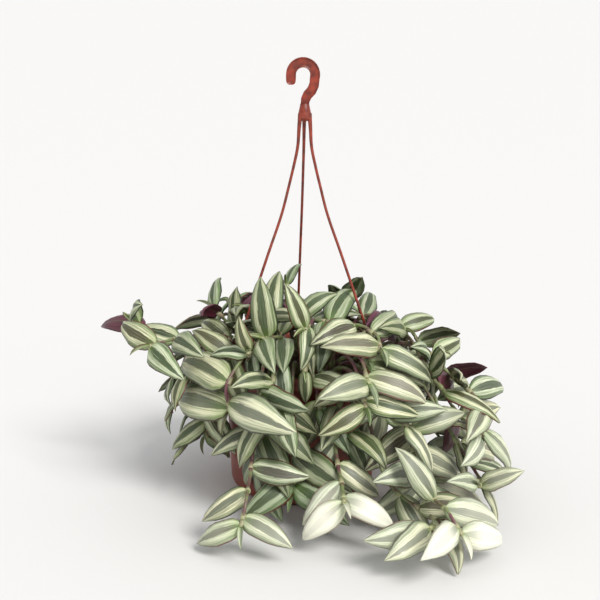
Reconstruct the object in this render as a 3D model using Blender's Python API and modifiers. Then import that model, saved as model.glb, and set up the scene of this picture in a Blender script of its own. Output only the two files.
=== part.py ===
"""Striped trailing tradescantia in a plastic hanging pot, with its three-legged hanger.

Units are metres, +Z is up, and the origin is the middle of the pot's flat foot, on the surface
that the pot stands on. The pot, the soil and the hanger are one solid each. Every leafy stem is
one solid too: a stem that stands in its own plain hole in the soil, fused with its leaves.
"""

import itertools
import math
import random
from typing import NamedTuple

import bmesh
import bpy
import numpy as np
from mathutils import Matrix, Vector
from mathutils.bvhtree import BVHTree

MM = 0.001
UP = Vector((0.0, 0.0, 1.0))
GAP = 0.3 * MM

# Pot: a turned shell with a flat foot, a rolled rim and drain holes.
POT_HEIGHT = 120 * MM
RIM_RADIUS = 75 * MM
LIP_DEPTH = 9 * MM
LIP_THICKNESS = 1.4 * MM
FLANGE_THICKNESS = 1.8 * MM
WALL_TOP_RADIUS = 68.5 * MM
WALL_THICKNESS = 1.6 * MM
FOOT_RADIUS = 55 * MM
FLOOR_THICKNESS = 2.2 * MM
HEEL_RADIUS = 10 * MM
HEEL_STEPS = 2
POT_SIDES = 28
DRAIN_HOLES = 5
DRAIN_RADIUS = 4 * MM
DRAIN_RING_RADIUS = 34 * MM

# Hanger: one moulding, with a hook, a neck and three legs that clip through the rim.
LEG_AZIMUTHS = (-26.5, 93.5, 213.5)
LEG_RADIUS = 1.2 * MM
LEG_RING_RADIUS = 71.2 * MM
LEG_HOLE_RADIUS = 1.9 * MM
LEG_HOLE_SIDES = 8
LEG_PROFILE_MM = ((4.4, 334), (5.6, 322), (6.8, 306), (10.6, 290), (15.4, 273), (23, 248), (36.5, 215),
                  (52, 176), (64.5, 144), (70.4, 130), (71.2, 124), (71.2, 116))
HANGER_LEAN = Vector((2.2 * MM, 0.0, 0.0))
CLIP_RADIUS = 2.1 * MM
CLIP_TIP_RADIUS = 1.3 * MM
CLIP_HEIGHT = 3.2 * MM
NECK_BASE_Z = 329 * MM
NECK_HEIGHT = 13 * MM
NECK_BASE_RADIUS = 5.8 * MM
NECK_TOP_RADIUS = 3.7 * MM
HOOK_CENTRE = Vector((-1.4 * MM, 0.0, 366.4 * MM))
HOOK_RADIUS = 10.2 * MM
HOOK_BAR_WIDTH = 8.4 * MM
HOOK_BAR_DEPTH = 5.6 * MM
HOOK_SHANK_MM = ((0, 334), (0, 341), (0.5, 345.2), (2.3, 349.2), (5.8, 353), (7.9, 357.8))
HOOK_ARC_DEG = (-15, 180)
HOOK_ARC_STEPS = 10
HOOK_TIP_LENGTH = 8.4 * MM

# Soil: a lumpy disc that fills the pot, with one hole for each stem.
SOIL_EDGE_Z = 103 * MM
SOIL_SIDE_GAP = 0.75 * MM
SOIL_CROWN = 3 * MM
SOIL_LUMP = 1.2 * MM
SOIL_RINGS = 3
SOIL_SIDES = 18
HOLE_DEPTH = 9 * MM
HOLE_SIDES = 4

# Stems and leaves.
STEM_RADIUS = 2.0 * MM
STEM_TIP_SHARE = 0.7
STEM_STEP = 23 * MM
ROUTE_STEP = 2 * MM
STEM_UPRIGHT = 15 * MM
PAIR_SPACING = 6 * MM
LEAF_THICKNESS = 0.8 * MM
LEAF_WIDTH_SHARE = 0.205
LEAF_STATIONS = ((0.0, 0.0), (0.24, 0.96), (0.64, 0.82), (1.0, 0.0))
YOUNG_STATIONS = ((0.0, 0.0), (0.36, 0.9), (1.0, 0.0))
LEAF_ROOF_SHARE = 0.2
LEAF_ROOT_SHARE = 0.18
LEAF_CLEARANCE = 0.35 * MM
GROUND_CLEARANCE = 1.0 * MM
ARCH_DEG = 58
YOUNG_SHARE = 0.4
YOUNG = 99
STEMS_PER_RANK = 13
BEND_LIFTS = (0, 7, -7, 15, -15, 24, -24, 34)
BEND_SWINGS = (0, 8, -8, 17, -17, 28, -28)
BEND_ROLLS = (0, 20, -20)
BEND_SIZES = (1.0, 0.88, 0.76, 0.64)
MOST_BEND = 13


class Stem(NamedTuple):
    """One leafy stem: where it is rooted, the points that it passes and how its leaves grow."""

    name: str
    root: tuple  # mm, on the soil
    passes: tuple  # mm, along the stem, with its tip last
    leaves: int
    grown: float = 50  # mm, the length of a grown leaf
    turn: float = 0  # degrees, of the leaf pairs round the stem
    spread: float = 72  # degrees, between a leaf and the stem
    lift: float = 16  # degrees, of a leaf above the plane of its pair
    internode: float = 20  # mm, between the leaves behind the pair at its tip


STEMS = (
    Stem("front_left", (-22, -36),
         ((-36, -59, 151), (-62, -96, 123), (-60, -91, 100)), 4, 77, 186, 100, 18),
    Stem("left_upper", (-22, -18), ((-33, -41, 158), (-44, -65, 136), (-44, -85, 149)), 5, 37, -79, 52, 50),
    Stem("top_front", (3, -20), ((3, -34, 152), (10, -49, 167), (2, -71, 163)), 3, 46, 113, 68, 20),
    Stem("top_side", (-5, -13), ((-4, -23, 152), (0, -35, 170), (-3, -59, 170)), 3, 42, 29, 73, 33),
    Stem("centre", (6, -42), ((3, -52, 153), (6, -72, 150), (2, -88, 132)), 4, 30, -84, 48, 22),
    Stem("right_upper", (24, -22), ((38, -44, 160), (61, -65, 158), (64, -88, 151)), 5, 60, 16, 69, 17),
    Stem("front_right", (18, -40), ((33, -67, 150), (48, -99, 146), (53, -117, 131)), 3, 61, 163, 59, 38),
    Stem("front_right_low", (26, -48),
         ((37, -75, 143), (47, -105, 128), (51, -123, 113)), 4, 49, 199, 65, 19),
    Stem("right_mid", (40, -28), ((59, -55, 136), (71, -108, 101), (91, -104, 89)), 5, 52, 52, 55, 39),
    Stem("right_drop", (51, -12),
         ((94, -38, 143), (125, -43, 117), (155, -75, 94), (149, -82, 72)), 6, 54, 173, 71, 40),
    Stem("right_outer", (46, 0), ((84, -20, 149), (107, -77, 126), (120, -68, 108)), 5, 57, 121, 61, 44),
    Stem("right_crest", (28, 4), ((49, -4, 154), (74, -18, 159), (89, -35, 152)), 5, 43, 217, 64, 39),
    Stem("right_shoulder", (40, -12), ((70, -15, 154), (93, -37, 128), (112, -49, 136)), 5, 44, 19, 56, 17),
    Stem("trail_left", (-14, -50),
         ((-20, -74, 132), (-36, -80, 96), (-43, -112, 50), (-44, -151, 49),
          (-48, -164, 29)), 6, 50, 175, 69, 11, 32),
    Stem("trail_centre", (8, -52),
         ((16, -78, 134), (24, -86, 94), (29, -114, 62), (32, -136, 52),
          (33, -159, 47)), 6, 53, 201, 51, -9),
    Stem("trail_right", (36, -40),
         ((60, -65, 142), (85, -90, 95), (97, -125, 48), (111, -176, 50),
          (122, -190, 34)), 8, 57, -18, 69, 26),
    Stem("trail_right_inner", (22, -54),
         ((41, -80, 132), (56, -91, 88), (72, -118, 44), (108, -156, 31),
          (95, -176, 31)), 6, 58, 241, 21, 12),
    Stem("trail_right_outer", (50, -24),
         ((78, -53, 141), (108, -68, 104), (128, -86, 72), (151, -104, 38),
          (142, -124, 48)), 7, 41, 270, 45, 39),
    Stem("left_reach", (-48, -4),
         ((-74, -4, 140), (-110, -8, 136), (-126, 7, 134), (-145, 2, 148)), 6, 54, -75, 34, -2),
    Stem("left_mid", (-44, -18), ((-66, -28, 146), (-78, -40, 137), (-94, -46, 120)), 5, 47, 28, 50, 18),
    Stem("left_drop", (-36, -32), ((-53, -42, 141), (-81, -55, 102), (-81, -58, 78)), 4, 48, 151, 61, 32),
    Stem("left_crest", (-34, -6), ((-52, -8, 150), (-62, 3, 145), (-79, 2, 162)), 5, 43, 137, 43, 21),
    Stem("crown", (-8, 2), ((-9, 8, 140), (-14, 23, 157), (-14, 18, 180)), 5, 33, -63, 38, 45),
    Stem("crown_right", (14, 0), ((24, 2, 140), (30, 12, 144), (38, 15, 166)), 5, 43, 195, 16, 34),
    Stem("front_hang", (-6, -40),
         ((-11, -71, 146), (-26, -100, 126), (-16, -109, 106)), 5, 47, 113, 57, 37),
    Stem("front_low_left", (-28, -48),
         ((-30, -67, 142), (-35, -105, 116), (-29, -99, 94)), 4, 58, 3, 51, 36),
    Stem("front_low_right", (42, -43), ((56, -71, 137), (28, -85, 98), (41, -97, 82)), 4, 54, 90, 42, 27),
    Stem("skirt_front", (-4, -54),
         ((-7, -74, 136), (-9, -83, 100), (-8, -93, 60), (-7, -101, 37)), 5, 62, 20, 60, 34),
    Stem("skirt_front_left", (-22, -54),
         ((-27, -76, 132), (-32, -86, 92), (-35, -86, 52)), 5, 62, 40, 52, 14),
    Stem("fill_left_upper", (-14, -8), ((-22, -18, 150), (-30, -33, 159)), 5, 54, 80, 52, 34),
    Stem("fill_right_side", (57, -2), ((90, -8, 136), (116, -24, 104), (138, -37, 73)), 5, 54, 40, 68, 24),
    Stem("skirt_left", (-53, -22), ((-80, -28, 132), (-88, -34, 96), (-84, -38, 56)), 5, 46, -80, 68, 14),
    Stem("rim_centre", (-1, -46), ((0, -61, 141), (10, -79, 123), (15, -88, 100)), 4, 58, 60, 52, 14),
    Stem("crown_left", (-18, 6), ((-30, 5, 148), (-48, 4, 158)), 5, 54, 0, 60, 24),
    Stem("crown_mid", (2, 8), ((8, -4, 152), (9, -33, 161), (25, -40, 161)), 4, 54, 20, 68, 24),
    Stem("skirt_right", (46, -36),
         ((78, -58, 134), (94, -76, 96), (100, -86, 62), (104, -98, 36)), 5, 62, 20, 76, 14),
    Stem("back_left_drop", (-38, 26), ((-70, 52, 144), (-92, 72, 112), (-100, 80, 78)), 6, 50, 10),
    Stem("back_left_low", (-50, 12), ((-84, 24, 140), (-108, 32, 104), (-116, 34, 66)), 6, 48),
    Stem("back_mid_high", (8, 24), ((12, 52, 150), (18, 84, 134)), 5),
    Stem("back_mid_drop", (-16, 46), ((-26, 82, 140), (-34, 104, 102), (-36, 112, 62)), 6, 52, -10),
    Stem("back_right_high", (24, 14), ((48, 40, 148), (74, 60, 132)), 5, 48),
    Stem("back_right_drop", (24, 44), ((40, 76, 142), (54, 100, 106), (60, 108, 68)), 6, 50, 10),
    Stem("back_right_low", (44, 26), ((78, 46, 142), (102, 58, 106), (112, 62, 66)), 6),
    Stem("back_low", (2, 54), ((4, 84, 128), (8, 90, 84), (10, 92, 50)), 5, 48, -10),
    Stem("right_side", (52, 12), ((88, 16, 144), (114, 19, 114), (135, 20, 89)), 6, 46, -60, 68, 34),
    Stem("heart_left", (1, -31), ((-14, -53, 150), (-34, -77, 157)), 4, 54, -60, 52, 34),
    Stem("right_fall", (56, 6), ((86, 9, 135), (91, 10, 99), (138, -52, 53)), 4, 58, 40, 68, -6),
    Stem("left_reach_low", (-57, -10), ((-95, -35, 146), (-128, -66, 147)), 4, 54, -40, 60, 24),
    Stem("front_right_fall", (28, -41), ((48, -72, 134), (69, -63, 82)), 5, 62, 20, 60, 24),
    Stem("left_side_fall", (-50, 27), ((-77, 41, 136), (-79, 38, 77)), 5, 58, 40, 60),
    Stem("left_back_crest", (-55, 19), ((-60, 28, 166), (-67, 41, 158)), 5, 50, -20, 52, -6),
    Stem("right_side_fall", (45, 17), ((81, 31, 142), (86, 32, 91), (133, -19, 34)), 4, 62, 60, 60, 14),
    Stem("centre_right", (34, -24), ((44, -58, 140), (53, -89, 140)), 3, 58, 0, 68, 26),
    Stem("front_left_high", (-29, -33), ((-48, -51, 141), (-62, -64, 135)), 3, 54, -40, 60),
)

COLOURS = {
    "terracotta": ((0.33, 0.10, 0.065), 0.5),
    "soil": ((0.05, 0.032, 0.022), 0.95),
    "leaf": ((0.26, 0.36, 0.21), 0.42),
}


def clear_scene():
    """Remove whatever the file held."""
    for obj in list(bpy.data.objects):
        bpy.data.objects.remove(obj)


def new_collection(name):
    """A collection linked to the scene."""
    collection = bpy.data.collections.new(name)
    bpy.context.scene.collection.children.link(collection)
    return collection


def material(name):
    """A Principled material in the piece's own colour."""
    found = bpy.data.materials.get(name)
    if found:
        return found
    colour, roughness = COLOURS[name]
    made = bpy.data.materials.new(name)
    made.use_nodes = True
    shader = made.node_tree.nodes["Principled BSDF"]
    shader.inputs["Base Color"].default_value = (*colour, 1.0)
    shader.inputs["Roughness"].default_value = roughness
    made.diffuse_color = (*colour, 1.0)
    return made


def add_object(name, data, collection, finish=None):
    """An object in a collection, with its material."""
    obj = bpy.data.objects.new(name, data)
    collection.objects.link(obj)
    if finish:
        obj.data.materials.append(material(finish))
    return obj


def add_bmesh(name, bm, collection, finish=None):
    """An object from a bmesh, which is freed."""
    mesh = bpy.data.meshes.new(name)
    bm.to_mesh(mesh)
    bm.free()
    return add_object(name, mesh, collection, finish)


def apply_modifiers(obj):
    """Replace the object's mesh with its evaluated one."""
    bpy.context.view_layer.update()
    graph = bpy.context.evaluated_depsgraph_get()
    mesh = bpy.data.meshes.new_from_object(obj.evaluated_get(graph))
    obj.modifiers.clear()
    obj.data = mesh


def curve_to_mesh(obj, collection):
    """A closed mesh object in the place of a curve, with its caps welded."""
    bpy.context.view_layer.update()
    graph = bpy.context.evaluated_depsgraph_get()
    mesh = bpy.data.meshes.new_from_object(obj.evaluated_get(graph))
    bm = bmesh.new()
    bm.from_mesh(mesh)
    bmesh.ops.remove_doubles(bm, verts=bm.verts, dist=0.01 * MM)
    bm.to_mesh(mesh)
    bm.free()
    name = obj.name
    placed_at = obj.matrix_world.copy()
    bpy.data.objects.remove(obj)
    made = add_object(name, mesh, collection)
    made.matrix_world = placed_at
    return made


def fuse(body, helpers, solver="EXACT"):
    """Join every object of a collection to a body with one Boolean union, and remove them."""
    union = body.modifiers.new("Fuse", "BOOLEAN")
    union.operation = "UNION"
    union.operand_type = "COLLECTION"
    union.collection = helpers
    union.solver = solver
    apply_modifiers(body)
    for obj in list(helpers.objects):
        bpy.data.objects.remove(obj)


def cut(body, cutter):
    """Cut one object out of another, with the cutter removed afterwards."""
    difference = body.modifiers.new("Cut", "BOOLEAN")
    difference.operation = "DIFFERENCE"
    difference.object = cutter
    apply_modifiers(body)
    bpy.data.objects.remove(cutter)


def smooth(obj, angle_deg=40):
    """Shade smooth, with the sharp edges kept."""
    obj.data.shade_smooth()
    obj.data.set_sharp_from_angle(angle=math.radians(angle_deg))


def add_tube(name, points, radii, bevel_resolution, collection):
    """A closed tube along points, as a mesh object."""
    curve = bpy.data.curves.new(name, "CURVE")
    curve.dimensions = "3D"
    curve.bevel_depth = 1.0
    curve.bevel_resolution = bevel_resolution
    curve.use_fill_caps = True
    spline = curve.splines.new("POLY")
    spline.points.add(len(points) - 1)
    for target, point, radius in zip(spline.points, points, radii):
        target.co = (*point, 1.0)
        target.radius = radius
    return curve_to_mesh(add_object(name, curve, collection), collection)


def prism(name, centre, radius, depth, sides, collection):
    """An upright prism whose flats, not its corners, lie at the radius."""
    bm = bmesh.new()
    corner = radius / math.cos(math.pi / sides)
    bmesh.ops.create_cone(bm, cap_ends=True, segments=sides, radius1=corner, radius2=corner, depth=depth,
                          matrix=Matrix.Translation(centre))
    return add_bmesh(name, bm, collection)


def turned(name, profile, sides, collection, finish):
    """A solid turned from a profile of (radius, height) points that starts and ends on the axis."""
    bm = bmesh.new()
    verts = [bm.verts.new((radius, 0.0, height)) for radius, height in profile]
    for first, second in zip(verts, verts[1:]):
        bm.edges.new((first, second))
    obj = add_bmesh(name, bm, collection, finish)
    screw = obj.modifiers.new("Turn", "SCREW")
    screw.steps = sides
    screw.render_steps = sides
    screw.use_merge_vertices = True
    screw.merge_threshold = 0.01 * MM
    apply_modifiers(obj)
    return obj


def polar(radius, azimuth_deg, height=0.0):
    """A point from its distance to the axis, its azimuth and its height."""
    angle = math.radians(azimuth_deg)
    return Vector((radius * math.cos(angle), radius * math.sin(angle), height))


def wall_radius(height, inset=0.0):
    """The radius of the pot's outer wall at a height, less an inset."""
    share = (height - HEEL_RADIUS) / (POT_HEIGHT - HEEL_RADIUS)
    heel = FOOT_RADIUS + HEEL_RADIUS * 0.9
    return heel + (WALL_TOP_RADIUS - heel) * share - inset


def heel_points(inset, floor):
    """The rounded heel between the wall and the floor, from the wall down."""
    points = []
    radius = HEEL_RADIUS - inset * 0.6
    edge = wall_radius(HEEL_RADIUS, inset)
    for step in range(HEEL_STEPS + 1):
        angle = math.radians(90 * step / HEEL_STEPS)
        points.append((edge - radius * (1 - math.cos(angle)), floor + radius * (1 - math.sin(angle))))
    return points


def build_pot(collection, cutters):
    """The pot: wall, rounded heel, flat foot and a flanged rim with a lip."""
    inner = list(reversed(heel_points(WALL_THICKNESS, FLOOR_THICKNESS)))
    under_flange = POT_HEIGHT - FLANGE_THICKNESS
    profile = [(0.0, FLOOR_THICKNESS)]
    profile += inner
    profile += [(WALL_TOP_RADIUS - WALL_THICKNESS, POT_HEIGHT - 0.6 * MM),
                (WALL_TOP_RADIUS - WALL_THICKNESS + 0.6 * MM, POT_HEIGHT),
                (RIM_RADIUS - 0.8 * MM, POT_HEIGHT),
                (RIM_RADIUS, POT_HEIGHT - 0.8 * MM),
                (RIM_RADIUS, POT_HEIGHT - LIP_DEPTH),
                (RIM_RADIUS - LIP_THICKNESS, POT_HEIGHT - LIP_DEPTH),
                (RIM_RADIUS - LIP_THICKNESS, under_flange),
                (wall_radius(under_flange), under_flange)]
    profile += heel_points(0.0, 0.0)
    profile += [(0.0, 0.0)]
    pot = turned("pot", profile, POT_SIDES, collection, "terracotta")
    for number in range(DRAIN_HOLES):
        centre = polar(DRAIN_RING_RADIUS, 360 * number / DRAIN_HOLES, FLOOR_THICKNESS / 2)
        cut(pot, prism("drain_cutter", centre, DRAIN_RADIUS, 4 * FLOOR_THICKNESS, 8, cutters))
    for azimuth in LEG_AZIMUTHS:
        centre = polar(LEG_RING_RADIUS, azimuth, POT_HEIGHT)
        cut(pot, prism("leg_cutter", centre, LEG_HOLE_RADIUS, 4 * FLANGE_THICKNESS, LEG_HOLE_SIDES, cutters))
    smooth(pot)
    return pot


def soil_height(x, y):
    """The height of the soil's lumpy, slightly domed top."""
    share = min(1.0, math.hypot(x, y) / (WALL_TOP_RADIUS - WALL_THICKNESS))
    lumps = math.sin(x / (7 * MM)) * math.cos(y / (6 * MM)) + 0.5 * math.sin((x + 2 * y) / (5 * MM))
    return SOIL_EDGE_Z + SOIL_CROWN * (1 - share**2) + SOIL_LUMP * lumps * (1 - share**4)


def build_soil(roots, collection, cutters):
    """The soil: it fills the pot up to a lumpy top with a hole for each stem."""
    outer = [(radius - SOIL_SIDE_GAP, height + GAP) for radius, height in heel_points(WALL_THICKNESS, FLOOR_THICKNESS)]
    top_edge = wall_radius(SOIL_EDGE_Z, WALL_THICKNESS + SOIL_SIDE_GAP)
    profile = [(top_edge * ring / SOIL_RINGS, SOIL_EDGE_Z) for ring in range(SOIL_RINGS + 1)]
    profile += outer + [(0.0, FLOOR_THICKNESS + GAP)]
    soil = turned("soil", profile, SOIL_SIDES, collection, "soil")
    for vert in soil.data.vertices:
        if abs(vert.co.z - SOIL_EDGE_Z) < 0.01 * MM:
            vert.co.z = soil_height(vert.co.x, vert.co.y)
    bm = bmesh.new()
    for x, y in roots:
        top = soil_height(x, y)
        corner = (STEM_RADIUS + GAP) / math.cos(math.pi / HOLE_SIDES)
        bmesh.ops.create_cone(bm, cap_ends=True, segments=HOLE_SIDES, radius1=corner, radius2=corner,
                              depth=2 * HOLE_DEPTH, matrix=Matrix.Translation((x, y, top)))
    cut(soil, add_bmesh("hole_cutter", bm, cutters))
    smooth(soil)
    return soil


def leg_points(azimuth):
    """One leg of the hanger, from the neck down to its clip; its top leans with the hook."""
    points = []
    top = LEG_PROFILE_MM[0][1] * MM
    for radius, height in LEG_PROFILE_MM:
        share = max(0.0, (height * MM - POT_HEIGHT) / (top - POT_HEIGHT))
        points.append(polar(radius * MM, azimuth, height * MM) + HANGER_LEAN * share)
    return points


def hook_points():
    """The hook's centre line, from the neck up a swan-necked shank and round to its tip, in the XZ plane."""
    first, last = (math.radians(angle) for angle in HOOK_ARC_DEG)
    arc = []
    for step in range(HOOK_ARC_STEPS + 1):
        angle = first + (last - first) * step / HOOK_ARC_STEPS
        arc.append(HOOK_CENTRE + HOOK_RADIUS * Vector((math.cos(angle), 0.0, math.sin(angle))))
    shank = [Vector((x * MM, 0.0, z * MM)) for x, z in HOOK_SHANK_MM]
    tip = [arc[-1] - UP * HOOK_TIP_LENGTH * share for share in (0.6, 1.0)]
    return [point + HANGER_LEAN for point in shank + arc + tip]


def build_hanger(collection, helpers):
    """The hanger: a hook of oval section, a flared neck, three bowed legs and their clips."""
    points = hook_points()
    radii = [HOOK_BAR_WIDTH / 2] * len(points)
    radii[:4] = [share * HOOK_BAR_WIDTH / 2 for share in (0.75, 0.84, 0.92, 0.97)]
    radii[-1] = 0.62 * radii[-1]
    hanger = add_tube("hanger", points, radii, 2, collection)
    for vert in hanger.data.vertices:
        vert.co.y *= HOOK_BAR_DEPTH / HOOK_BAR_WIDTH
    hanger.data.materials.append(material("terracotta"))
    bm = bmesh.new()
    neck_centre = HANGER_LEAN + UP * (NECK_BASE_Z + NECK_HEIGHT / 2)
    bmesh.ops.create_cone(bm, cap_ends=True, segments=10, radius1=NECK_BASE_RADIUS, radius2=NECK_TOP_RADIUS,
                          depth=NECK_HEIGHT, matrix=Matrix.Translation(neck_centre))
    add_bmesh("neck", bm, helpers)
    for number, azimuth in enumerate(LEG_AZIMUTHS):
        line = leg_points(azimuth)
        add_tube(f"leg_{number}", line, [LEG_RADIUS] * len(line), 1, helpers)
        bm = bmesh.new()
        clip_top = POT_HEIGHT - FLANGE_THICKNESS - GAP
        clip_centre = polar(LEG_RING_RADIUS, azimuth, clip_top - CLIP_HEIGHT / 2)
        bmesh.ops.create_cone(bm, cap_ends=True, segments=8, radius1=CLIP_TIP_RADIUS, radius2=CLIP_RADIUS,
                              depth=CLIP_HEIGHT, matrix=Matrix.Translation(clip_centre))
        add_bmesh(f"clip_{number}", bm, helpers)
    fuse(hanger, helpers)
    smooth(hanger)
    return hanger


def smooth_route(points, step):
    """A smooth line through points, with an even step, as a Catmull-Rom curve."""
    padded = [2 * points[0] - points[1], *points, 2 * points[-1] - points[-2]]
    fine = []
    for a, b, c, d in zip(padded, padded[1:], padded[2:], padded[3:]):
        for number in range(12):
            t = number / 12
            fine.append(0.5 * (2 * b + (c - a) * t + (2 * a - 5 * b + 4 * c - d) * t**2
                               + (3 * b - 3 * c + d - a) * t**3))
    fine.append(points[-1].copy())
    return resample(fine, step)


def resample(points, step):
    """The same line with points an even step apart."""
    lengths = [0.0]
    for first, second in zip(points, points[1:]):
        lengths.append(lengths[-1] + (second - first).length)
    count = max(2, round(lengths[-1] / step))
    made = []
    index = 0
    for number in range(count + 1):
        target = lengths[-1] * number / count
        while index < len(lengths) - 2 and lengths[index + 1] < target:
            index += 1
        span = lengths[index + 1] - lengths[index]
        made.append(points[index].lerp(points[index + 1], (target - lengths[index]) / span))
    return made


def stem_route(root, passes):
    """A stem's foot in its hole, its line of tube corners, and a fine route along that line."""
    x, y = root[0] * MM, root[1] * MM
    top = soil_height(x, y)
    foot = Vector((x, y, top - HOLE_DEPTH + GAP))
    start = Vector((x, y, top + STEM_UPRIGHT))
    curve = smooth_route([start, *(Vector(point) * MM for point in passes)], ROUTE_STEP)
    line = resample(curve, STEM_STEP)
    return foot, line, resample(line, ROUTE_STEP)


def along(route, distance_from_tip):
    """The point and direction at a distance back from the tip of an evenly spaced line."""
    step = (route[1] - route[0]).length
    place = len(route) - 1 - distance_from_tip / step
    index = max(0, min(len(route) - 2, int(place)))
    point = route[index].lerp(route[index + 1], place - index)
    before = route[max(0, index - 2)]
    after = route[min(len(route) - 1, index + 3)]
    return point, (after - before).normalized()


def light_direction(point):
    """Where a leaf at a point looks: up and outwards from the middle of the plant."""
    outward = Vector((point.x, point.y, 0.0))
    share = min(1.0, outward.length / (110 * MM))
    return (UP * (1.15 - 0.45 * share) + outward.normalized() * share * 1.1).normalized()


class Leaf:
    """One leaf's root, its direction, the normal of its upper face, and its length."""

    def __init__(self, root, direction, normal, length, arch, stations=LEAF_STATIONS):
        self.root = root
        self.stations = stations
        self.direction = direction
        self.normal = (normal - direction * normal.dot(direction)).normalized()
        self.length = length
        self.arch = arch

    def place(self, along_share, across_share, lift=0.0):
        """A point of the blade: its middle surface, raised along the normal by a lift."""
        side = self.direction.cross(self.normal)
        angle = self.arch * along_share
        if abs(self.arch) > 1e-6:
            forward = math.sin(angle) / self.arch
            drop = (1 - math.cos(angle)) / self.arch
        else:
            forward, drop = along_share, 0.0
        rib = self.root + self.length * (self.direction * forward - self.normal * drop)
        facing = self.normal * math.cos(angle) + self.direction * math.sin(angle)
        half_width = self.length * LEAF_WIDTH_SHARE
        roof = -abs(across_share) * LEAF_ROOF_SHARE * half_width
        return rib + side * across_share * half_width + facing * (roof + lift)


def blade_rows(leaf, stations, half_thickness):
    """The blade's points by station, as its upper and its lower sheet."""
    sheets = []
    for lift in (half_thickness, -half_thickness):
        rows = []
        for along_share, width in stations:
            rows.append([leaf.place(along_share, side * width, lift) for side in (-1.0, 0.0, 1.0)])
        sheets.append(rows)
    return sheets


def blade_shell(leaf, stations, half_thickness, grow):
    """A closed low shell round a blade, as points and faces, for tests of what it would cross."""
    grown = [(share, width + grow / (leaf.length * LEAF_WIDTH_SHARE)) for share, width in stations]
    upper, lower = blade_rows(leaf, grown, half_thickness)
    points = [point for row in upper + lower for point in row]
    rows = len(stations)
    faces = []
    for row in range(rows - 1):
        for column in range(2):
            a = row * 3 + column
            faces.append((a, a + 1, a + 4, a + 3))
            b = a + 3 * rows
            faces.append((b, b + 3, b + 4, b + 1))
        for column in (0, 2):
            a = row * 3 + column
            b = a + 3 * rows
            faces.append((a, a + 3, b + 3, b))
    last = 3 * rows - 3
    for end in (0, last):
        faces.append((end, end + 1, end + 1 + 3 * rows, end + 3 * rows))
        faces.append((end + 1, end + 2, end + 2 + 3 * rows, end + 1 + 3 * rows))
    return points, faces


def tree_of(points, faces):
    """A search tree with the box of its points."""
    array = np.array([tuple(point) for point in points])
    return BVHTree.FromPolygons([tuple(point) for point in points], faces), array.min(0), array.max(0)


def tree_of_object(obj):
    """A search tree of an object's mesh."""
    points = [obj.matrix_world @ vert.co for vert in obj.data.vertices]
    return tree_of(points, [tuple(face.vertices) for face in obj.data.polygons])


def meets(first, second):
    """Whether two trees' surfaces cross."""
    tree_a, low_a, high_a = first
    tree_b, low_b, high_b = second
    if (low_a > high_b).any() or (low_b > high_a).any():
        return False
    return bool(tree_a.overlap(tree_b))


def tube_shell(points, radius):
    """A square tube round a line, as points and faces, for tests."""
    made = []
    faces = []
    for index, point in enumerate(points):
        ahead = (points[min(index + 1, len(points) - 1)] - points[max(index - 1, 0)]).normalized()
        side = ahead.orthogonal().normalized()
        other = ahead.cross(side)
        made += [point + radius * 1.3 * v for v in (side, other, -side, -other)]
        if index:
            base = 4 * index
            faces += [(base - 4 + k, base - 4 + (k + 1) % 4, base + (k + 1) % 4, base + k) for k in range(4)]
    return made, faces


def leaf_nodes(stem, route):
    """Distances from the tip of a stem's leaves: a pair at the tip, then one at each node."""
    length = (route[1] - route[0]).length * (len(route) - 1)
    places = [1.5 * MM, 1.5 * MM + PAIR_SPACING]
    while len(places) < stem.leaves - 1:
        places.append(places[-1] + stem.internode * MM)
    return [place for place in places if place < length - 12 * MM]


def grown_leaf(stem, route, number, place, bend=(0, 0, 0, 1.0)):
    """The leaf of a stem at a place, bent by a lift, a swing and a roll and scaled by a size."""
    draw = random.Random(f"{stem.name}-{number}")
    lift, swing, roll, size = bend
    point, ahead = along(route, place)
    light = light_direction(point)
    side = ahead.cross(light).normalized()
    face = side.cross(ahead)
    turned_side = Matrix.Rotation(math.radians(stem.turn), 3, ahead) @ side
    hand = 1 if number % 2 else -1
    spread = math.radians(stem.spread + draw.uniform(-8, 8) + swing)
    rise = math.radians(stem.lift + draw.uniform(-8, 8) + lift)
    flat = ahead * math.cos(spread) + turned_side * hand * math.sin(spread)
    direction = (flat * math.cos(rise) + face * math.sin(rise)).normalized()
    tilt = Matrix.Rotation(math.radians(draw.uniform(-14, 14) + roll), 3, direction)
    length = stem.grown * MM * draw.uniform(0.94, 1.06) * size
    arch = math.radians(ARCH_DEG + draw.uniform(-18, 14))
    return Leaf(point, direction, tilt @ light, length, arch)


def young_leaf(stem, route, bend=(0, 0, 0, 1.0)):
    """The half-furled leaf at a stem's tip, bent as a grown leaf is."""
    draw = random.Random(f"{stem.name}-young")
    lift, swing, roll, size = bend
    point, ahead = along(route, 0.0)
    light = light_direction(point)
    side = ahead.cross(light).normalized()
    sideways = draw.uniform(-0.3, 0.3) + math.radians(swing)
    direction = (ahead + side * sideways + light * (0.45 + math.radians(lift))).normalized()
    length = YOUNG_SHARE * stem.grown * MM * size
    tilt = Matrix.Rotation(math.radians(roll), 3, direction)
    return Leaf(point - 1.5 * MM * ahead, direction, tilt @ light, length, math.radians(30), YOUNG_STATIONS)


def bends():
    """Every bend a leaf may take (lift, swing and roll in degrees, and size), the least first."""
    made = []
    for lift, swing, roll, size in itertools.product(BEND_LIFTS, BEND_SWINGS, BEND_ROLLS, BEND_SIZES):
        effort = (lift / 10) ** 2 + (swing / 10) ** 2 + (roll / 16) ** 2 + ((1 - size) / 0.12) ** 2
        if effort < MOST_BEND:
            made.append((round(effort, 3), lift, swing, roll, size))
    return [bend[1:] for bend in sorted(made)]


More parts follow.
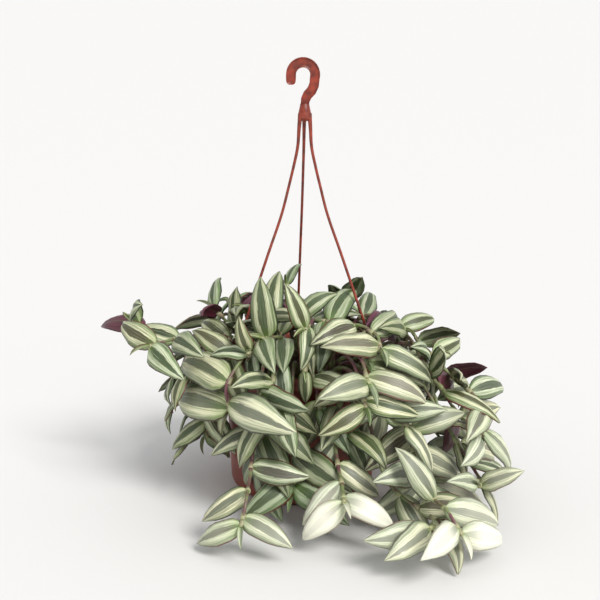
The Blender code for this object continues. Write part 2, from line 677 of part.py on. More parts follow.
def clear_of(leaf, own, others, fixed):
    """Whether a leaf is clear of the ground, the fixed pieces, other stems' leaves and its own."""
    half = LEAF_THICKNESS / 2
    points, faces = blade_shell(leaf, leaf.stations, half + LEAF_CLEARANCE, LEAF_CLEARANCE)
    if min(point.z for point in points) < GROUND_CLEARANCE:
        return False
    tree = tree_of(points, faces)
    if any(meets(tree, other) for other in fixed):
        return False
    if any(meets(tree, other) for other in others):
        return False
    outer = [(max(share, LEAF_ROOT_SHARE), width) for share, width in leaf.stations]
    tip = tree_of(*blade_shell(leaf, outer, half + LEAF_CLEARANCE, 0.0))
    return not any(meets(tip, other) for other in own)


def leaf_jobs(stems, routes):
    """Every leaf to place, as (stem, number, place); leaves at the tips of the outer stems first."""
    jobs = []
    for index, stem in enumerate(stems):
        for number, place in enumerate(leaf_nodes(stem, routes[stem.name][2])):
            jobs.append((number // 2 + index // STEMS_PER_RANK, index, number, stem, place))
        jobs.append((1 + index // STEMS_PER_RANK, index, YOUNG, stem, 0.0))
    jobs.sort(key=lambda job: job[:3])
    return [(stem, number, place) for _, _, number, stem, place in jobs]


def grow_leaves(stems, routes, fixed):
    """Place every stem's leaves, each bent until it is clear of what is already there."""
    tubes = {}
    for stem in stems:
        foot, line, _ = routes[stem.name]
        tubes[stem.name] = tree_of(*tube_shell([foot, *line], STEM_RADIUS + LEAF_CLEARANCE))
    placed = {stem.name: [] for stem in stems}
    trees = {stem.name: [] for stem in stems}
    choices = bends()
    for stem, number, place in leaf_jobs(stems, routes):
        route = routes[stem.name][2]
        others = [tree for name in trees if name != stem.name for tree in trees[name]]
        others += [tubes[name] for name in tubes if name != stem.name]
        for bend in choices:
            if number == YOUNG:
                leaf = young_leaf(stem, route, bend)
            else:
                leaf = grown_leaf(stem, route, number, place, bend)
            if clear_of(leaf, trees[stem.name], others, fixed):
                placed[stem.name].append(leaf)
                trees[stem.name].append(tree_of(*blade_shell(leaf, leaf.stations, LEAF_THICKNESS / 2, 0.0)))
                break
    return placed


def add_blade(leaf, collection):
    """One leaf as a solid: a bent and folded grid, thickened."""
    bm = bmesh.new()
    rows = len(leaf.stations)
    bmesh.ops.create_grid(bm, x_segments=2, y_segments=rows - 1, size=1.0)
    for vert in bm.verts:
        station = round((vert.co.y + 1) / 2 * (rows - 1))
        along_share, width = leaf.stations[station]
        vert.co = leaf.place(along_share, round(vert.co.x) * width)
    bmesh.ops.remove_doubles(bm, verts=bm.verts, dist=0.05 * MM)
    bmesh.ops.triangulate(bm, faces=bm.faces)
    blade = add_bmesh("blade", bm, collection)
    shell = blade.modifiers.new("Thickness", "SOLIDIFY")
    shell.thickness = LEAF_THICKNESS
    shell.offset = 0.0
    apply_modifiers(blade)
    return blade


def build_stem(name, line, leaves, collection, helpers):
    """One leafy stem: its tapered tube fused with its leaves."""
    count = len(line)
    radii = [STEM_RADIUS * (1 - (1 - STEM_TIP_SHARE) * index / (count - 1)) for index in range(count)]
    body = add_tube(f"stem_{name}", line, radii, 0, collection)
    body.data.materials.append(material("leaf"))
    for leaf in leaves:
        add_blade(leaf, helpers)
    fuse(body, helpers)
    smooth(body)
    return body


def main():
    """Build every piece of the potted plant."""
    clear_scene()
    plant = new_collection("potted_tradescantia")
    helpers = new_collection("helpers")
    routes = {stem.name: stem_route(stem.root, stem.passes) for stem in STEMS}
    pot = build_pot(plant, helpers)
    soil = build_soil([(stem.root[0] * MM, stem.root[1] * MM) for stem in STEMS], plant, helpers)
    hanger = build_hanger(plant, helpers)
    fixed = [tree_of_object(obj) for obj in (pot, soil, hanger)]
    leaves = grow_leaves(STEMS, routes, fixed)
    for stem in STEMS:
        foot, line, _ = routes[stem.name]
        build_stem(stem.name, [foot, *line], leaves[stem.name], plant, helpers)
    bpy.context.scene.collection.children.unlink(helpers)
    bpy.data.collections.remove(helpers)


main()
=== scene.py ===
"""Looks of a striped trailing tradescantia in a hanging pot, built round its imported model.

Every leafy stem, the pot, the soil and the hanger is made again here as a finer piece that keeps the
form of its solid: leaves with bent, domed blades and silver stripes, jointed stems, a turned pot with
a soft rim, crumbly soil and a moulded hanger. Units are metres and +Z is up.
"""

import itertools
import logging
import math
import random
from collections.abc import Iterable, Iterator
from contextlib import contextmanager
from dataclasses import dataclass, field
from enum import Enum
from typing import NamedTuple

import bpy
import numpy as np
from bpy.types import ID, Material, Mesh, Modifier, Node, NodeSocket, Object
from mathutils import Matrix, Vector, noise
from mathutils.kdtree import KDTree


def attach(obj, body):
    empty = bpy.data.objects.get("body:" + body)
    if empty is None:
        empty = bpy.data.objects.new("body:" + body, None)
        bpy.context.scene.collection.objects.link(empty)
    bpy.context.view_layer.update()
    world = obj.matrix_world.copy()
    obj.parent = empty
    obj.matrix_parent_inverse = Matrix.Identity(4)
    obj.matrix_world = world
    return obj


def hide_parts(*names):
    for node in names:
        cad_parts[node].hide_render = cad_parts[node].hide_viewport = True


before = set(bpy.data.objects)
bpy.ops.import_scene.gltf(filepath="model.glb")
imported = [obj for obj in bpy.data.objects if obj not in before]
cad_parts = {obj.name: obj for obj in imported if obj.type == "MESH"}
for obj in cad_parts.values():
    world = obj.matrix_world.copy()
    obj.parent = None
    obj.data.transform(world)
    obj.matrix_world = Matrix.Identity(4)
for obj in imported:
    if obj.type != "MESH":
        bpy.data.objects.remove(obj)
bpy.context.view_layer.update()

LOG = logging.getLogger("tradescantia")
MM = 0.001
UP = Vector((0.0, 0.0, 1.0))
BODY = "root"
LOOK = "leaf_look"
BLADE_MAP = "UVMap"
CURVE_STEPS = 12  # between two corners of a smooth line
WELD = 0.005 * MM  # points nearer than this become one


class Slot(Enum):
    """Names of the pieces' main material slots."""

    PLASTIC = "pot_plastic"
    SOIL = "soil"
    FOLIAGE = "foliage"


class Age(Enum):
    """How far a leaf has opened."""

    GROWN = "grown"
    YOUNG = "young"


class Stem(NamedTuple):
    """One leafy stem: where it is rooted, the points that it passes and how its leaves grow."""

    name: str
    root: tuple  # mm, on the soil
    passes: tuple  # mm, along the stem, with its tip last
    leaves: int
    grown: float = 50  # mm, the length of a grown leaf
    turn: float = 0  # degrees, of the leaf pairs round the stem
    spread: float = 72  # degrees, between a leaf and the stem
    lift: float = 16  # degrees, of a leaf above the plane of its pair
    internode: float = 20  # mm, between the leaves behind the pair at its tip


STEMS = (
    Stem("front_left", (-22, -36),
         ((-36, -59, 151), (-62, -96, 123), (-60, -91, 100)), 4, 77, 186, 100, 18),
    Stem("left_upper", (-22, -18), ((-33, -41, 158), (-44, -65, 136), (-44, -85, 149)), 5, 37, -79, 52, 50),
    Stem("top_front", (3, -20), ((3, -34, 152), (10, -49, 167), (2, -71, 163)), 3, 46, 113, 68, 20),
    Stem("top_side", (-5, -13), ((-4, -23, 152), (0, -35, 170), (-3, -59, 170)), 3, 42, 29, 73, 33),
    Stem("centre", (6, -42), ((3, -52, 153), (6, -72, 150), (2, -88, 132)), 4, 30, -84, 48, 22),
    Stem("right_upper", (24, -22), ((38, -44, 160), (61, -65, 158), (64, -88, 151)), 5, 60, 16, 69, 17),
    Stem("front_right", (18, -40), ((33, -67, 150), (48, -99, 146), (53, -117, 131)), 3, 61, 163, 59, 38),
    Stem("front_right_low", (26, -48),
         ((37, -75, 143), (47, -105, 128), (51, -123, 113)), 4, 49, 199, 65, 19),
    Stem("right_mid", (40, -28), ((59, -55, 136), (71, -108, 101), (91, -104, 89)), 5, 52, 52, 55, 39),
    Stem("right_drop", (51, -12),
         ((94, -38, 143), (125, -43, 117), (155, -75, 94), (149, -82, 72)), 6, 54, 173, 71, 40),
    Stem("right_outer", (46, 0), ((84, -20, 149), (107, -77, 126), (120, -68, 108)), 5, 57, 121, 61, 44),
    Stem("right_crest", (28, 4), ((49, -4, 154), (74, -18, 159), (89, -35, 152)), 5, 43, 217, 64, 39),
    Stem("right_shoulder", (40, -12), ((70, -15, 154), (93, -37, 128), (112, -49, 136)), 5, 44, 19, 56, 17),
    Stem("trail_left", (-14, -50),
         ((-20, -74, 132), (-36, -80, 96), (-43, -112, 50), (-44, -151, 49),
          (-48, -164, 29)), 6, 50, 175, 69, 11, 32),
    Stem("trail_centre", (8, -52),
         ((16, -78, 134), (24, -86, 94), (29, -114, 62), (32, -136, 52),
          (33, -159, 47)), 6, 53, 201, 51, -9),
    Stem("trail_right", (36, -40),
         ((60, -65, 142), (85, -90, 95), (97, -125, 48), (111, -176, 50),
          (122, -190, 34)), 8, 57, -18, 69, 26),
    Stem("trail_right_inner", (22, -54),
         ((41, -80, 132), (56, -91, 88), (72, -118, 44), (108, -156, 31),
          (95, -176, 31)), 6, 58, 241, 21, 12),
    Stem("trail_right_outer", (50, -24),
         ((78, -53, 141), (108, -68, 104), (128, -86, 72), (151, -104, 38),
          (142, -124, 48)), 7, 41, 270, 45, 39),
    Stem("left_reach", (-48, -4),
         ((-74, -4, 140), (-110, -8, 136), (-126, 7, 134), (-145, 2, 148)), 6, 54, -75, 34, -2),
    Stem("left_mid", (-44, -18), ((-66, -28, 146), (-78, -40, 137), (-94, -46, 120)), 5, 47, 28, 50, 18),
    Stem("left_drop", (-36, -32), ((-53, -42, 141), (-81, -55, 102), (-81, -58, 78)), 4, 48, 151, 61, 32),
    Stem("left_crest", (-34, -6), ((-52, -8, 150), (-62, 3, 145), (-79, 2, 162)), 5, 43, 137, 43, 21),
    Stem("crown", (-8, 2), ((-9, 8, 140), (-14, 23, 157), (-14, 18, 180)), 5, 33, -63, 38, 45),
    Stem("crown_right", (14, 0), ((24, 2, 140), (30, 12, 144), (38, 15, 166)), 5, 43, 195, 16, 34),
    Stem("front_hang", (-6, -40),
         ((-11, -71, 146), (-26, -100, 126), (-16, -109, 106)), 5, 47, 113, 57, 37),
    Stem("front_low_left", (-28, -48),
         ((-30, -67, 142), (-35, -105, 116), (-29, -99, 94)), 4, 58, 3, 51, 36),
    Stem("front_low_right", (42, -43), ((56, -71, 137), (28, -85, 98), (41, -97, 82)), 4, 54, 90, 42, 27),
    Stem("skirt_front", (-4, -54),
         ((-7, -74, 136), (-9, -83, 100), (-8, -93, 60), (-7, -101, 37)), 5, 62, 20, 60, 34),
    Stem("skirt_front_left", (-22, -54),
         ((-27, -76, 132), (-32, -86, 92), (-35, -86, 52)), 5, 62, 40, 52, 14),
    Stem("fill_left_upper", (-14, -8), ((-22, -18, 150), (-30, -33, 159)), 5, 54, 80, 52, 34),
    Stem("fill_right_side", (57, -2), ((90, -8, 136), (116, -24, 104), (138, -37, 73)), 5, 54, 40, 68, 24),
    Stem("skirt_left", (-53, -22), ((-80, -28, 132), (-88, -34, 96), (-84, -38, 56)), 5, 46, -80, 68, 14),
    Stem("rim_centre", (-1, -46), ((0, -61, 141), (10, -79, 123), (15, -88, 100)), 4, 58, 60, 52, 14),
    Stem("crown_left", (-18, 6), ((-30, 5, 148), (-48, 4, 158)), 5, 54, 0, 60, 24),
    Stem("crown_mid", (2, 8), ((8, -4, 152), (9, -33, 161), (25, -40, 161)), 4, 54, 20, 68, 24),
    Stem("skirt_right", (46, -36),
         ((78, -58, 134), (94, -76, 96), (100, -86, 62), (104, -98, 36)), 5, 62, 20, 76, 14),
    Stem("back_left_drop", (-38, 26), ((-70, 52, 144), (-92, 72, 112), (-100, 80, 78)), 6, 50, 10),
    Stem("back_left_low", (-50, 12), ((-84, 24, 140), (-108, 32, 104), (-116, 34, 66)), 6, 48),
    Stem("back_mid_high", (8, 24), ((12, 52, 150), (18, 84, 134)), 5),
    Stem("back_mid_drop", (-16, 46), ((-26, 82, 140), (-34, 104, 102), (-36, 112, 62)), 6, 52, -10),
    Stem("back_right_high", (24, 14), ((48, 40, 148), (74, 60, 132)), 5, 48),
    Stem("back_right_drop", (24, 44), ((40, 76, 142), (54, 100, 106), (60, 108, 68)), 6, 50, 10),
    Stem("back_right_low", (44, 26), ((78, 46, 142), (102, 58, 106), (112, 62, 66)), 6),
    Stem("back_low", (2, 54), ((4, 84, 128), (8, 90, 84), (10, 92, 50)), 5, 48, -10),
    Stem("right_side", (52, 12), ((88, 16, 144), (114, 19, 114), (135, 20, 89)), 6, 46, -60, 68, 34),
    Stem("heart_left", (1, -31), ((-14, -53, 150), (-34, -77, 157)), 4, 54, -60, 52, 34),
    Stem("right_fall", (56, 6), ((86, 9, 135), (91, 10, 99), (138, -52, 53)), 4, 58, 40, 68, -6),
    Stem("left_reach_low", (-57, -10), ((-95, -35, 146), (-128, -66, 147)), 4, 54, -40, 60, 24),
    Stem("front_right_fall", (28, -41), ((48, -72, 134), (69, -63, 82)), 5, 62, 20, 60, 24),
    Stem("left_side_fall", (-50, 27), ((-77, 41, 136), (-79, 38, 77)), 5, 58, 40, 60),
    Stem("left_back_crest", (-55, 19), ((-60, 28, 166), (-67, 41, 158)), 5, 50, -20, 52, -6),
    Stem("right_side_fall", (45, 17), ((81, 31, 142), (86, 32, 91), (133, -19, 34)), 4, 62, 60, 60, 14),
    Stem("centre_right", (34, -24), ((44, -58, 140), (53, -89, 140)), 3, 58, 0, 68, 26),
    Stem("front_left_high", (-29, -33), ((-48, -51, 141), (-62, -64, 135)), 3, 54, -40, 60),
)

# Painted glare: stems whose tips lie in the strongest light have their leaves painted paler, towards
# near-white.
GLARE_STEMS = {"trail_centre": 1.0, "trail_right": 1.0, "trail_left": 0.3, "front_left": 0.2,
              "front_right": 0.2, "trail_right_inner": 0.35, "right_drop": 0.3, "right_mid": 0.25,
              "skirt_right": 0.25, "front_right_fall": 0.25, "right_fall": 0.25, "fill_right_side": 0.2,
              "trail_right_outer": 0.3, "right_side_fall": 0.2, "right_upper": 0.15}

# Painted shade: stems inside the plant, and low ones behind others, have the silver and rib of their leaves
# painted darker and duller.
SHADED_STEMS = {"skirt_front": 0.7, "skirt_front_left": 0.6, "front_low_left": 0.5, "front_low_right": 0.5,
              "rim_centre": 0.5, "skirt_left": 0.5, "fill_left_upper": 0.5, "crown": 0.4, "crown_left": 0.8,
              "crown_mid": 0.8, "crown_right": 0.6, "heart_left": 0.4, "front_hang": 0.2, "top_side": 0.3,
              "left_crest": 0.5, "right_crest": 0.5, "left_side_fall": 0.5, "left_back_crest": 0.6,
              "right_side": 0.4, "back_mid_high": 0.6, "back_right_high": 0.6,
              "centre_right": 0.4, "front_left_high": 0.4}

# Leaves, counted back from each stem's tip, whose upper face wears the purple underside's finish and whose
# underside wears the upper face's.
TURNED_LEAVES = {"left_reach": (1,), "left_crest": (1,), "left_back_crest": (2,), "crown": (1, 2),
                 "crown_left": (1,), "right_crest": (2,), "right_shoulder": (3,), "right_outer": (1,),
                 "right_side": (1,), "fill_right_side": (1,), "back_mid_drop": (2,),
                 "back_right_drop": (3,), "back_left_low": (1,)}


# ---------------------------------------------------------------- modelling helpers


def rgb(red: int, green: int, blue: int) -> tuple[float, float, float, float]:
    """A linear colour with full alpha from its 8-bit display values."""
    linear = [(value / 255 + 0.055) / 1.055 for value in (red, green, blue)]
    return (*(value**2.4 for value in linear), 1.0)


def select_only(*objects: Object) -> None:
    """Select these objects and nothing else, with the first one active.

    Args:
        *objects: the objects to select, the first one to be active.
    """
    if bpy.context.mode != "OBJECT":
        bpy.ops.object.mode_set(mode="OBJECT")
    bpy.ops.object.select_all(action="DESELECT")
    for obj in objects:
        obj.select_set(True)
    bpy.context.view_layer.objects.active = objects[0]


def deselect_all() -> None:
    """Leave nothing selected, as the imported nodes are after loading."""
    for obj in bpy.context.selected_objects:
        obj.select_set(False)


def added(name: str) -> Object:
    """The object that an operator has just added, under a name of its own.

    Args:
        name: the object's name.

    Returns:
        The new object.
    """
    obj = bpy.context.active_object
    obj.name = name
    obj.data.name = name
    return obj


def linked(name: str, data: ID) -> Object:
    """A new object for some data, in the scene.

    Args:
        name: the object's name.
        data: its mesh, curve, light or camera.

    Returns:
        The new object.
    """
    obj = bpy.data.objects.new(name, data)
    bpy.context.scene.collection.objects.link(obj)
    return obj


@contextmanager
def editing(obj: Object, kind: str = "FACE", action: str = "SELECT") -> Iterator[None]:
    """Edit mode on one object, for as long as the block lasts.

    Args:
        obj: the object to edit.
        kind: what its selection holds: VERT or FACE.
        action: SELECT for all of its mesh, DESELECT for none.
    """
    select_only(obj)
    bpy.ops.object.mode_set(mode="EDIT")
    bpy.ops.mesh.select_mode(type=kind)
    bpy.ops.mesh.select_all(action=action)
    yield
    bpy.ops.object.mode_set(mode="OBJECT")


def apply_modifier(obj: Object, modifier: Modifier) -> None:
    """Apply one modifier to its object's mesh."""
    select_only(obj)
    bpy.ops.object.modifier_apply(modifier=modifier.name)


def apply_place(obj: Object) -> None:
    """Put the object's place, turn and scale into its mesh."""
    select_only(obj)
    bpy.ops.object.transform_apply(location=True, rotation=True, scale=True)


def joined(name: str, objects: list[Object]) -> Object:
    """One object from several, under a name.

    Args:
        name: the joined object's name.
        objects: the objects to join; the first one keeps its slots.

    Returns:
        The joined object.
    """
    select_only(*objects)
    if len(objects) > 1:
        bpy.ops.object.join()
    return added(name)


def outward(obj: Object) -> None:
    """Turn the faces of a closed mesh outwards."""
    with editing(obj):
        bpy.ops.mesh.normals_make_consistent(inside=False)


def lathe(name: str, profile: list[tuple[float, float]], sides: int) -> Object:
    """A turned solid, raised from a filled circle by extruding and scaling it ring by ring.

    Args:
        name: the object's name.
        profile: (radius, height) points, from the rim of the foot to the rim of the last face.
        sides: how many sides each ring has.

    Returns:
        The object, closed at both ends.
    """
    radius, height = profile[0]
    deselect_all()
    bpy.ops.mesh.primitive_circle_add(vertices=sides, radius=radius, fill_type="NGON",
                                      location=(0.0, 0.0, height))
    obj = added(name)
    apply_place(obj)
    with editing(obj):
        for next_radius, next_height in profile[1:]:
            rise = (0.0, 0.0, next_height - height)
            bpy.ops.mesh.extrude_region_move(TRANSFORM_OT_translate={"value": rise})
            scale = next_radius / radius
            bpy.ops.transform.resize(value=(scale, scale, 1.0), center_override=(0.0, 0.0, next_height))
            radius, height = next_radius, next_height
    outward(obj)
    return obj


def bar(name: str, points: list[Vector], radii: list[float], resolution: int = 2) -> Object:
    """A closed round bar along points, as a mesh.

    Args:
        name: the object's name.
        points: the middle line.
        radii: the radius at each point.
        resolution: the curve's bevel resolution; 2 gives eight sides.

    Returns:
        The mesh object, with its caps welded.
    """
    curve = bpy.data.curves.new(name, "CURVE")
    curve.dimensions = "3D"
    curve.bevel_depth = 1.0
    curve.bevel_resolution = resolution
    curve.use_fill_caps = True
    spline = curve.splines.new("POLY")
    spline.points.add(len(points) - 1)
    for target, point, radius in zip(spline.points, points, radii):
        target.co = (*point, 1.0)
        target.radius = radius
    select_only(linked(name, curve))
    bpy.ops.object.convert(target="MESH")
    obj = added(name)
    with editing(obj):
        bpy.ops.mesh.remove_doubles(threshold=WELD)
    return obj


def dress(piece: Object, *finishes: Material) -> None:
    """Give the piece these materials and no others.

    Args:
        piece: the piece.
        *finishes: its materials, in the order of its slots.
    """
    piece.data.materials.clear()
    for finish in finishes:
        piece.data.materials.append(finish)


def smooth(piece: Object, sharp_deg: float) -> None:
    """Shade the piece smooth, apart from edges sharper than an angle."""
    select_only(piece)
    bpy.ops.object.shade_smooth_by_angle(angle=math.radians(sharp_deg))


def hand_in(piece: Object, slot: Slot, *nodes: str) -> None:
    """Ride the piece on the body, let it stand for its nodes and log it.

    Args:
        piece: the finished piece.
        slot: not used.
        *nodes: the part's nodes that it stands for.
    """
    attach(piece, BODY)
    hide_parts(*nodes)
    LOG.info("%s: %d faces", piece.name, len(piece.data.polygons))


# ---------------------------------------------------------------- finishes


class Fade(NamedTuple):
    """A smooth step from 0 at low to its share at high; low may be above high."""

    low: float
    high: float
    share: float = 1.0


class Relief(NamedTuple):
    """How strongly a surface is raised, and how far in metres."""

    strength: float
    depth: float


class Shading:
    """A material's node tree, with short methods for the nodes that a finish needs."""

    def __init__(self, name: str) -> None:
        """Start a material with its Principled shader.

        Args:
            name: the material's name.
        """
        self.material = bpy.data.materials.new(name)
        self.material.use_nodes = True
        self.tree = self.material.node_tree
        self.shader = self.tree.nodes["Principled BSDF"]

    def feed(self, target: NodeSocket, value: object) -> None:
        """Link a socket to another one, or set it to a number or a colour.

        Args:
            target: the socket to set or to link to.
            value: a number, a colour or a socket.
        """
        if isinstance(value, NodeSocket):
            self.tree.links.new(value, target)
        else:
            target.default_value = value

    def node(self, kind: str, inputs: dict | None = None, **settings: object) -> Node:
        """A node of a kind, with its settings set and its inputs fed.

        Args:
            kind: the node's type.
            inputs: what each of its inputs gets, by the input's name or number.
            **settings: the node's properties and their values.

        Returns:
            The new node.
        """
        made = self.tree.nodes.new(kind)
        for key, value in settings.items():
            setattr(made, key, value)
        for key, value in (inputs or {}).items():
            self.feed(made.inputs[key], value)
        return made

    def math(self, operation: str, *values: object) -> NodeSocket:
        """The result of a Math node on one, two or three values."""
        return self.node("ShaderNodeMath", dict(enumerate(values)), operation=operation).outputs[0]

    def times(self, first: object, second: object) -> NodeSocket:
        """The product of two values."""
        return self.math("MULTIPLY", first, second)

    def between(self, value: object, low: object, high: object) -> NodeSocket:
        """A smooth step from 0 at low to 1 at high."""
        inputs = dict(enumerate((value, low, high, 0.0, 1.0)))
        return self.node("ShaderNodeMapRange", inputs, interpolation_type="SMOOTHSTEP").outputs[0]

    def fade(self, value: object, fade: Fade) -> NodeSocket:
        """A step's socket for a value."""
        return self.times(self.between(value, fade.low, fade.high), fade.share)

    def mix(self, share: object, first: object, second: object, blend: str = "MIX") -> NodeSocket:
        """A second colour laid over a first one by a share from 0 to 1, in a blend mode."""
        inputs = {0: share, 6: first, 7: second}
        return self.node("ShaderNodeMix", inputs, data_type="RGBA", blend_type=blend).outputs[2]

    def layered(self, base: object, *layers: tuple) -> NodeSocket:
        """Colours laid one over another.

        Args:
            base: the lowest colour.
            *layers: the share and the colour of each layer above it.

        Returns:
            The colour's socket.
        """
        for share, colour in layers:
            base = self.mix(share, base, colour)
        return base

    def vector(self, *values: object) -> NodeSocket:
        """A vector from its x, y and z."""
        return self.node("ShaderNodeCombineXYZ", dict(enumerate(values))).outputs[0]

    def parts(self, vector: NodeSocket) -> list[NodeSocket]:
        """The x, y and z of a vector."""
        return list(self.node("ShaderNodeSeparateXYZ", {0: vector}).outputs)

    def noise(self, vector: NodeSocket, scale: float, detail: float = 3.0,
              roughness: float = 0.55) -> NodeSocket:
        """Noise between 0 and 1 over a vector.

        Args:
            vector: the vector socket.
            scale: cells to a unit.
            detail: octaves of noise.
            roughness: how strong the finer octaves are.

        Returns:
            The noise's socket.
        """
        inputs = {"Vector": vector, "Scale": scale, "Detail": detail, "Roughness": roughness}
        return self.node("ShaderNodeTexNoise", inputs).outputs[0]

    def place(self) -> NodeSocket:
        """Object coordinates."""
        return self.node("ShaderNodeTexCoord").outputs["Object"]

    def look(self) -> list[NodeSocket]:
        """The three values that each point of a leaf or a stem carries."""
        return self.parts(self.node("ShaderNodeAttribute", attribute_name=LOOK).outputs["Vector"])

    def bump(self, height: NodeSocket, relief: Relief) -> None:
        """Raise the shader's normal by a height, as a relief says."""
        inputs = {"Strength": relief.strength, "Distance": relief.depth, "Height": height}
        self.feed(self.shader.inputs["Normal"], self.node("ShaderNodeBump", inputs).outputs[0])

    def surface(self, colour: object, roughness: object, specular: float = 0.5) -> Material:
        """Feed the shader and give the material back.

        Args:
            colour: the colour or its socket.
            roughness: the roughness or its socket.
            specular: the specular level.

        Returns:
            The finished material.
        """
        self.feed(self.shader.inputs["Base Color"], colour)
        self.feed(self.shader.inputs["Roughness"], roughness)
        self.feed(self.shader.inputs["Specular IOR Level"], specular)
        return self.material


class BladeShading(Shading):
    """A leaf's node tree, which reads the blade's own map and the look that each leaf carries."""

    def __init__(self, name: str) -> None:
        """Read x and y of the blade's map, the leaf's tone and youth, and its painted light: painted glare
        above 0, painted shade with age dulling below 0.

        Args:
            name: the material's name.
        """
        super().__init__(name)
        self.x, self.y, _ = self.parts(self.node("ShaderNodeUVMap", uv_map=BLADE_MAP).outputs[0])
        self.tone, self.pale, self.youth = self.look()
        self.signed = self.math("MULTIPLY_ADD", self.x, 2.0, -1.0)
        self.across = self.math("ABSOLUTE", self.signed)
        # Painted shade with age dulling, then painted glare, split from the look's second value.
        self.shaded_and_aged = self.math("MAXIMUM", self.times(self.pale, -1.0), 0.0)
        self.glare = self.math("MAXIMUM", self.pale, 0.0)

    def drawn(self, cycles: float) -> NodeSocket:
        """A number from 0 to 1 that differs from leaf to leaf."""
        return self.math("FRACT", self.times(self.tone, cycles))

    def fibres(self, counts: tuple[float, float], shift: float,
               roughness: float = 0.55) -> NodeSocket:
        """Noise drawn out along the blade.

        Args:
            counts: how many cells it has across the blade and along it.
            shift: how far one leaf's noise lies from another's.
            roughness: how strong the finer octaves are.

        Returns:
            The noise's socket.
        """
        place = self.vector(self.times(self.x, counts[0]), self.times(self.y, counts[1]),
                            self.times(self.tone, shift))
        return self.noise(place, 1.0, 3.0, roughness)


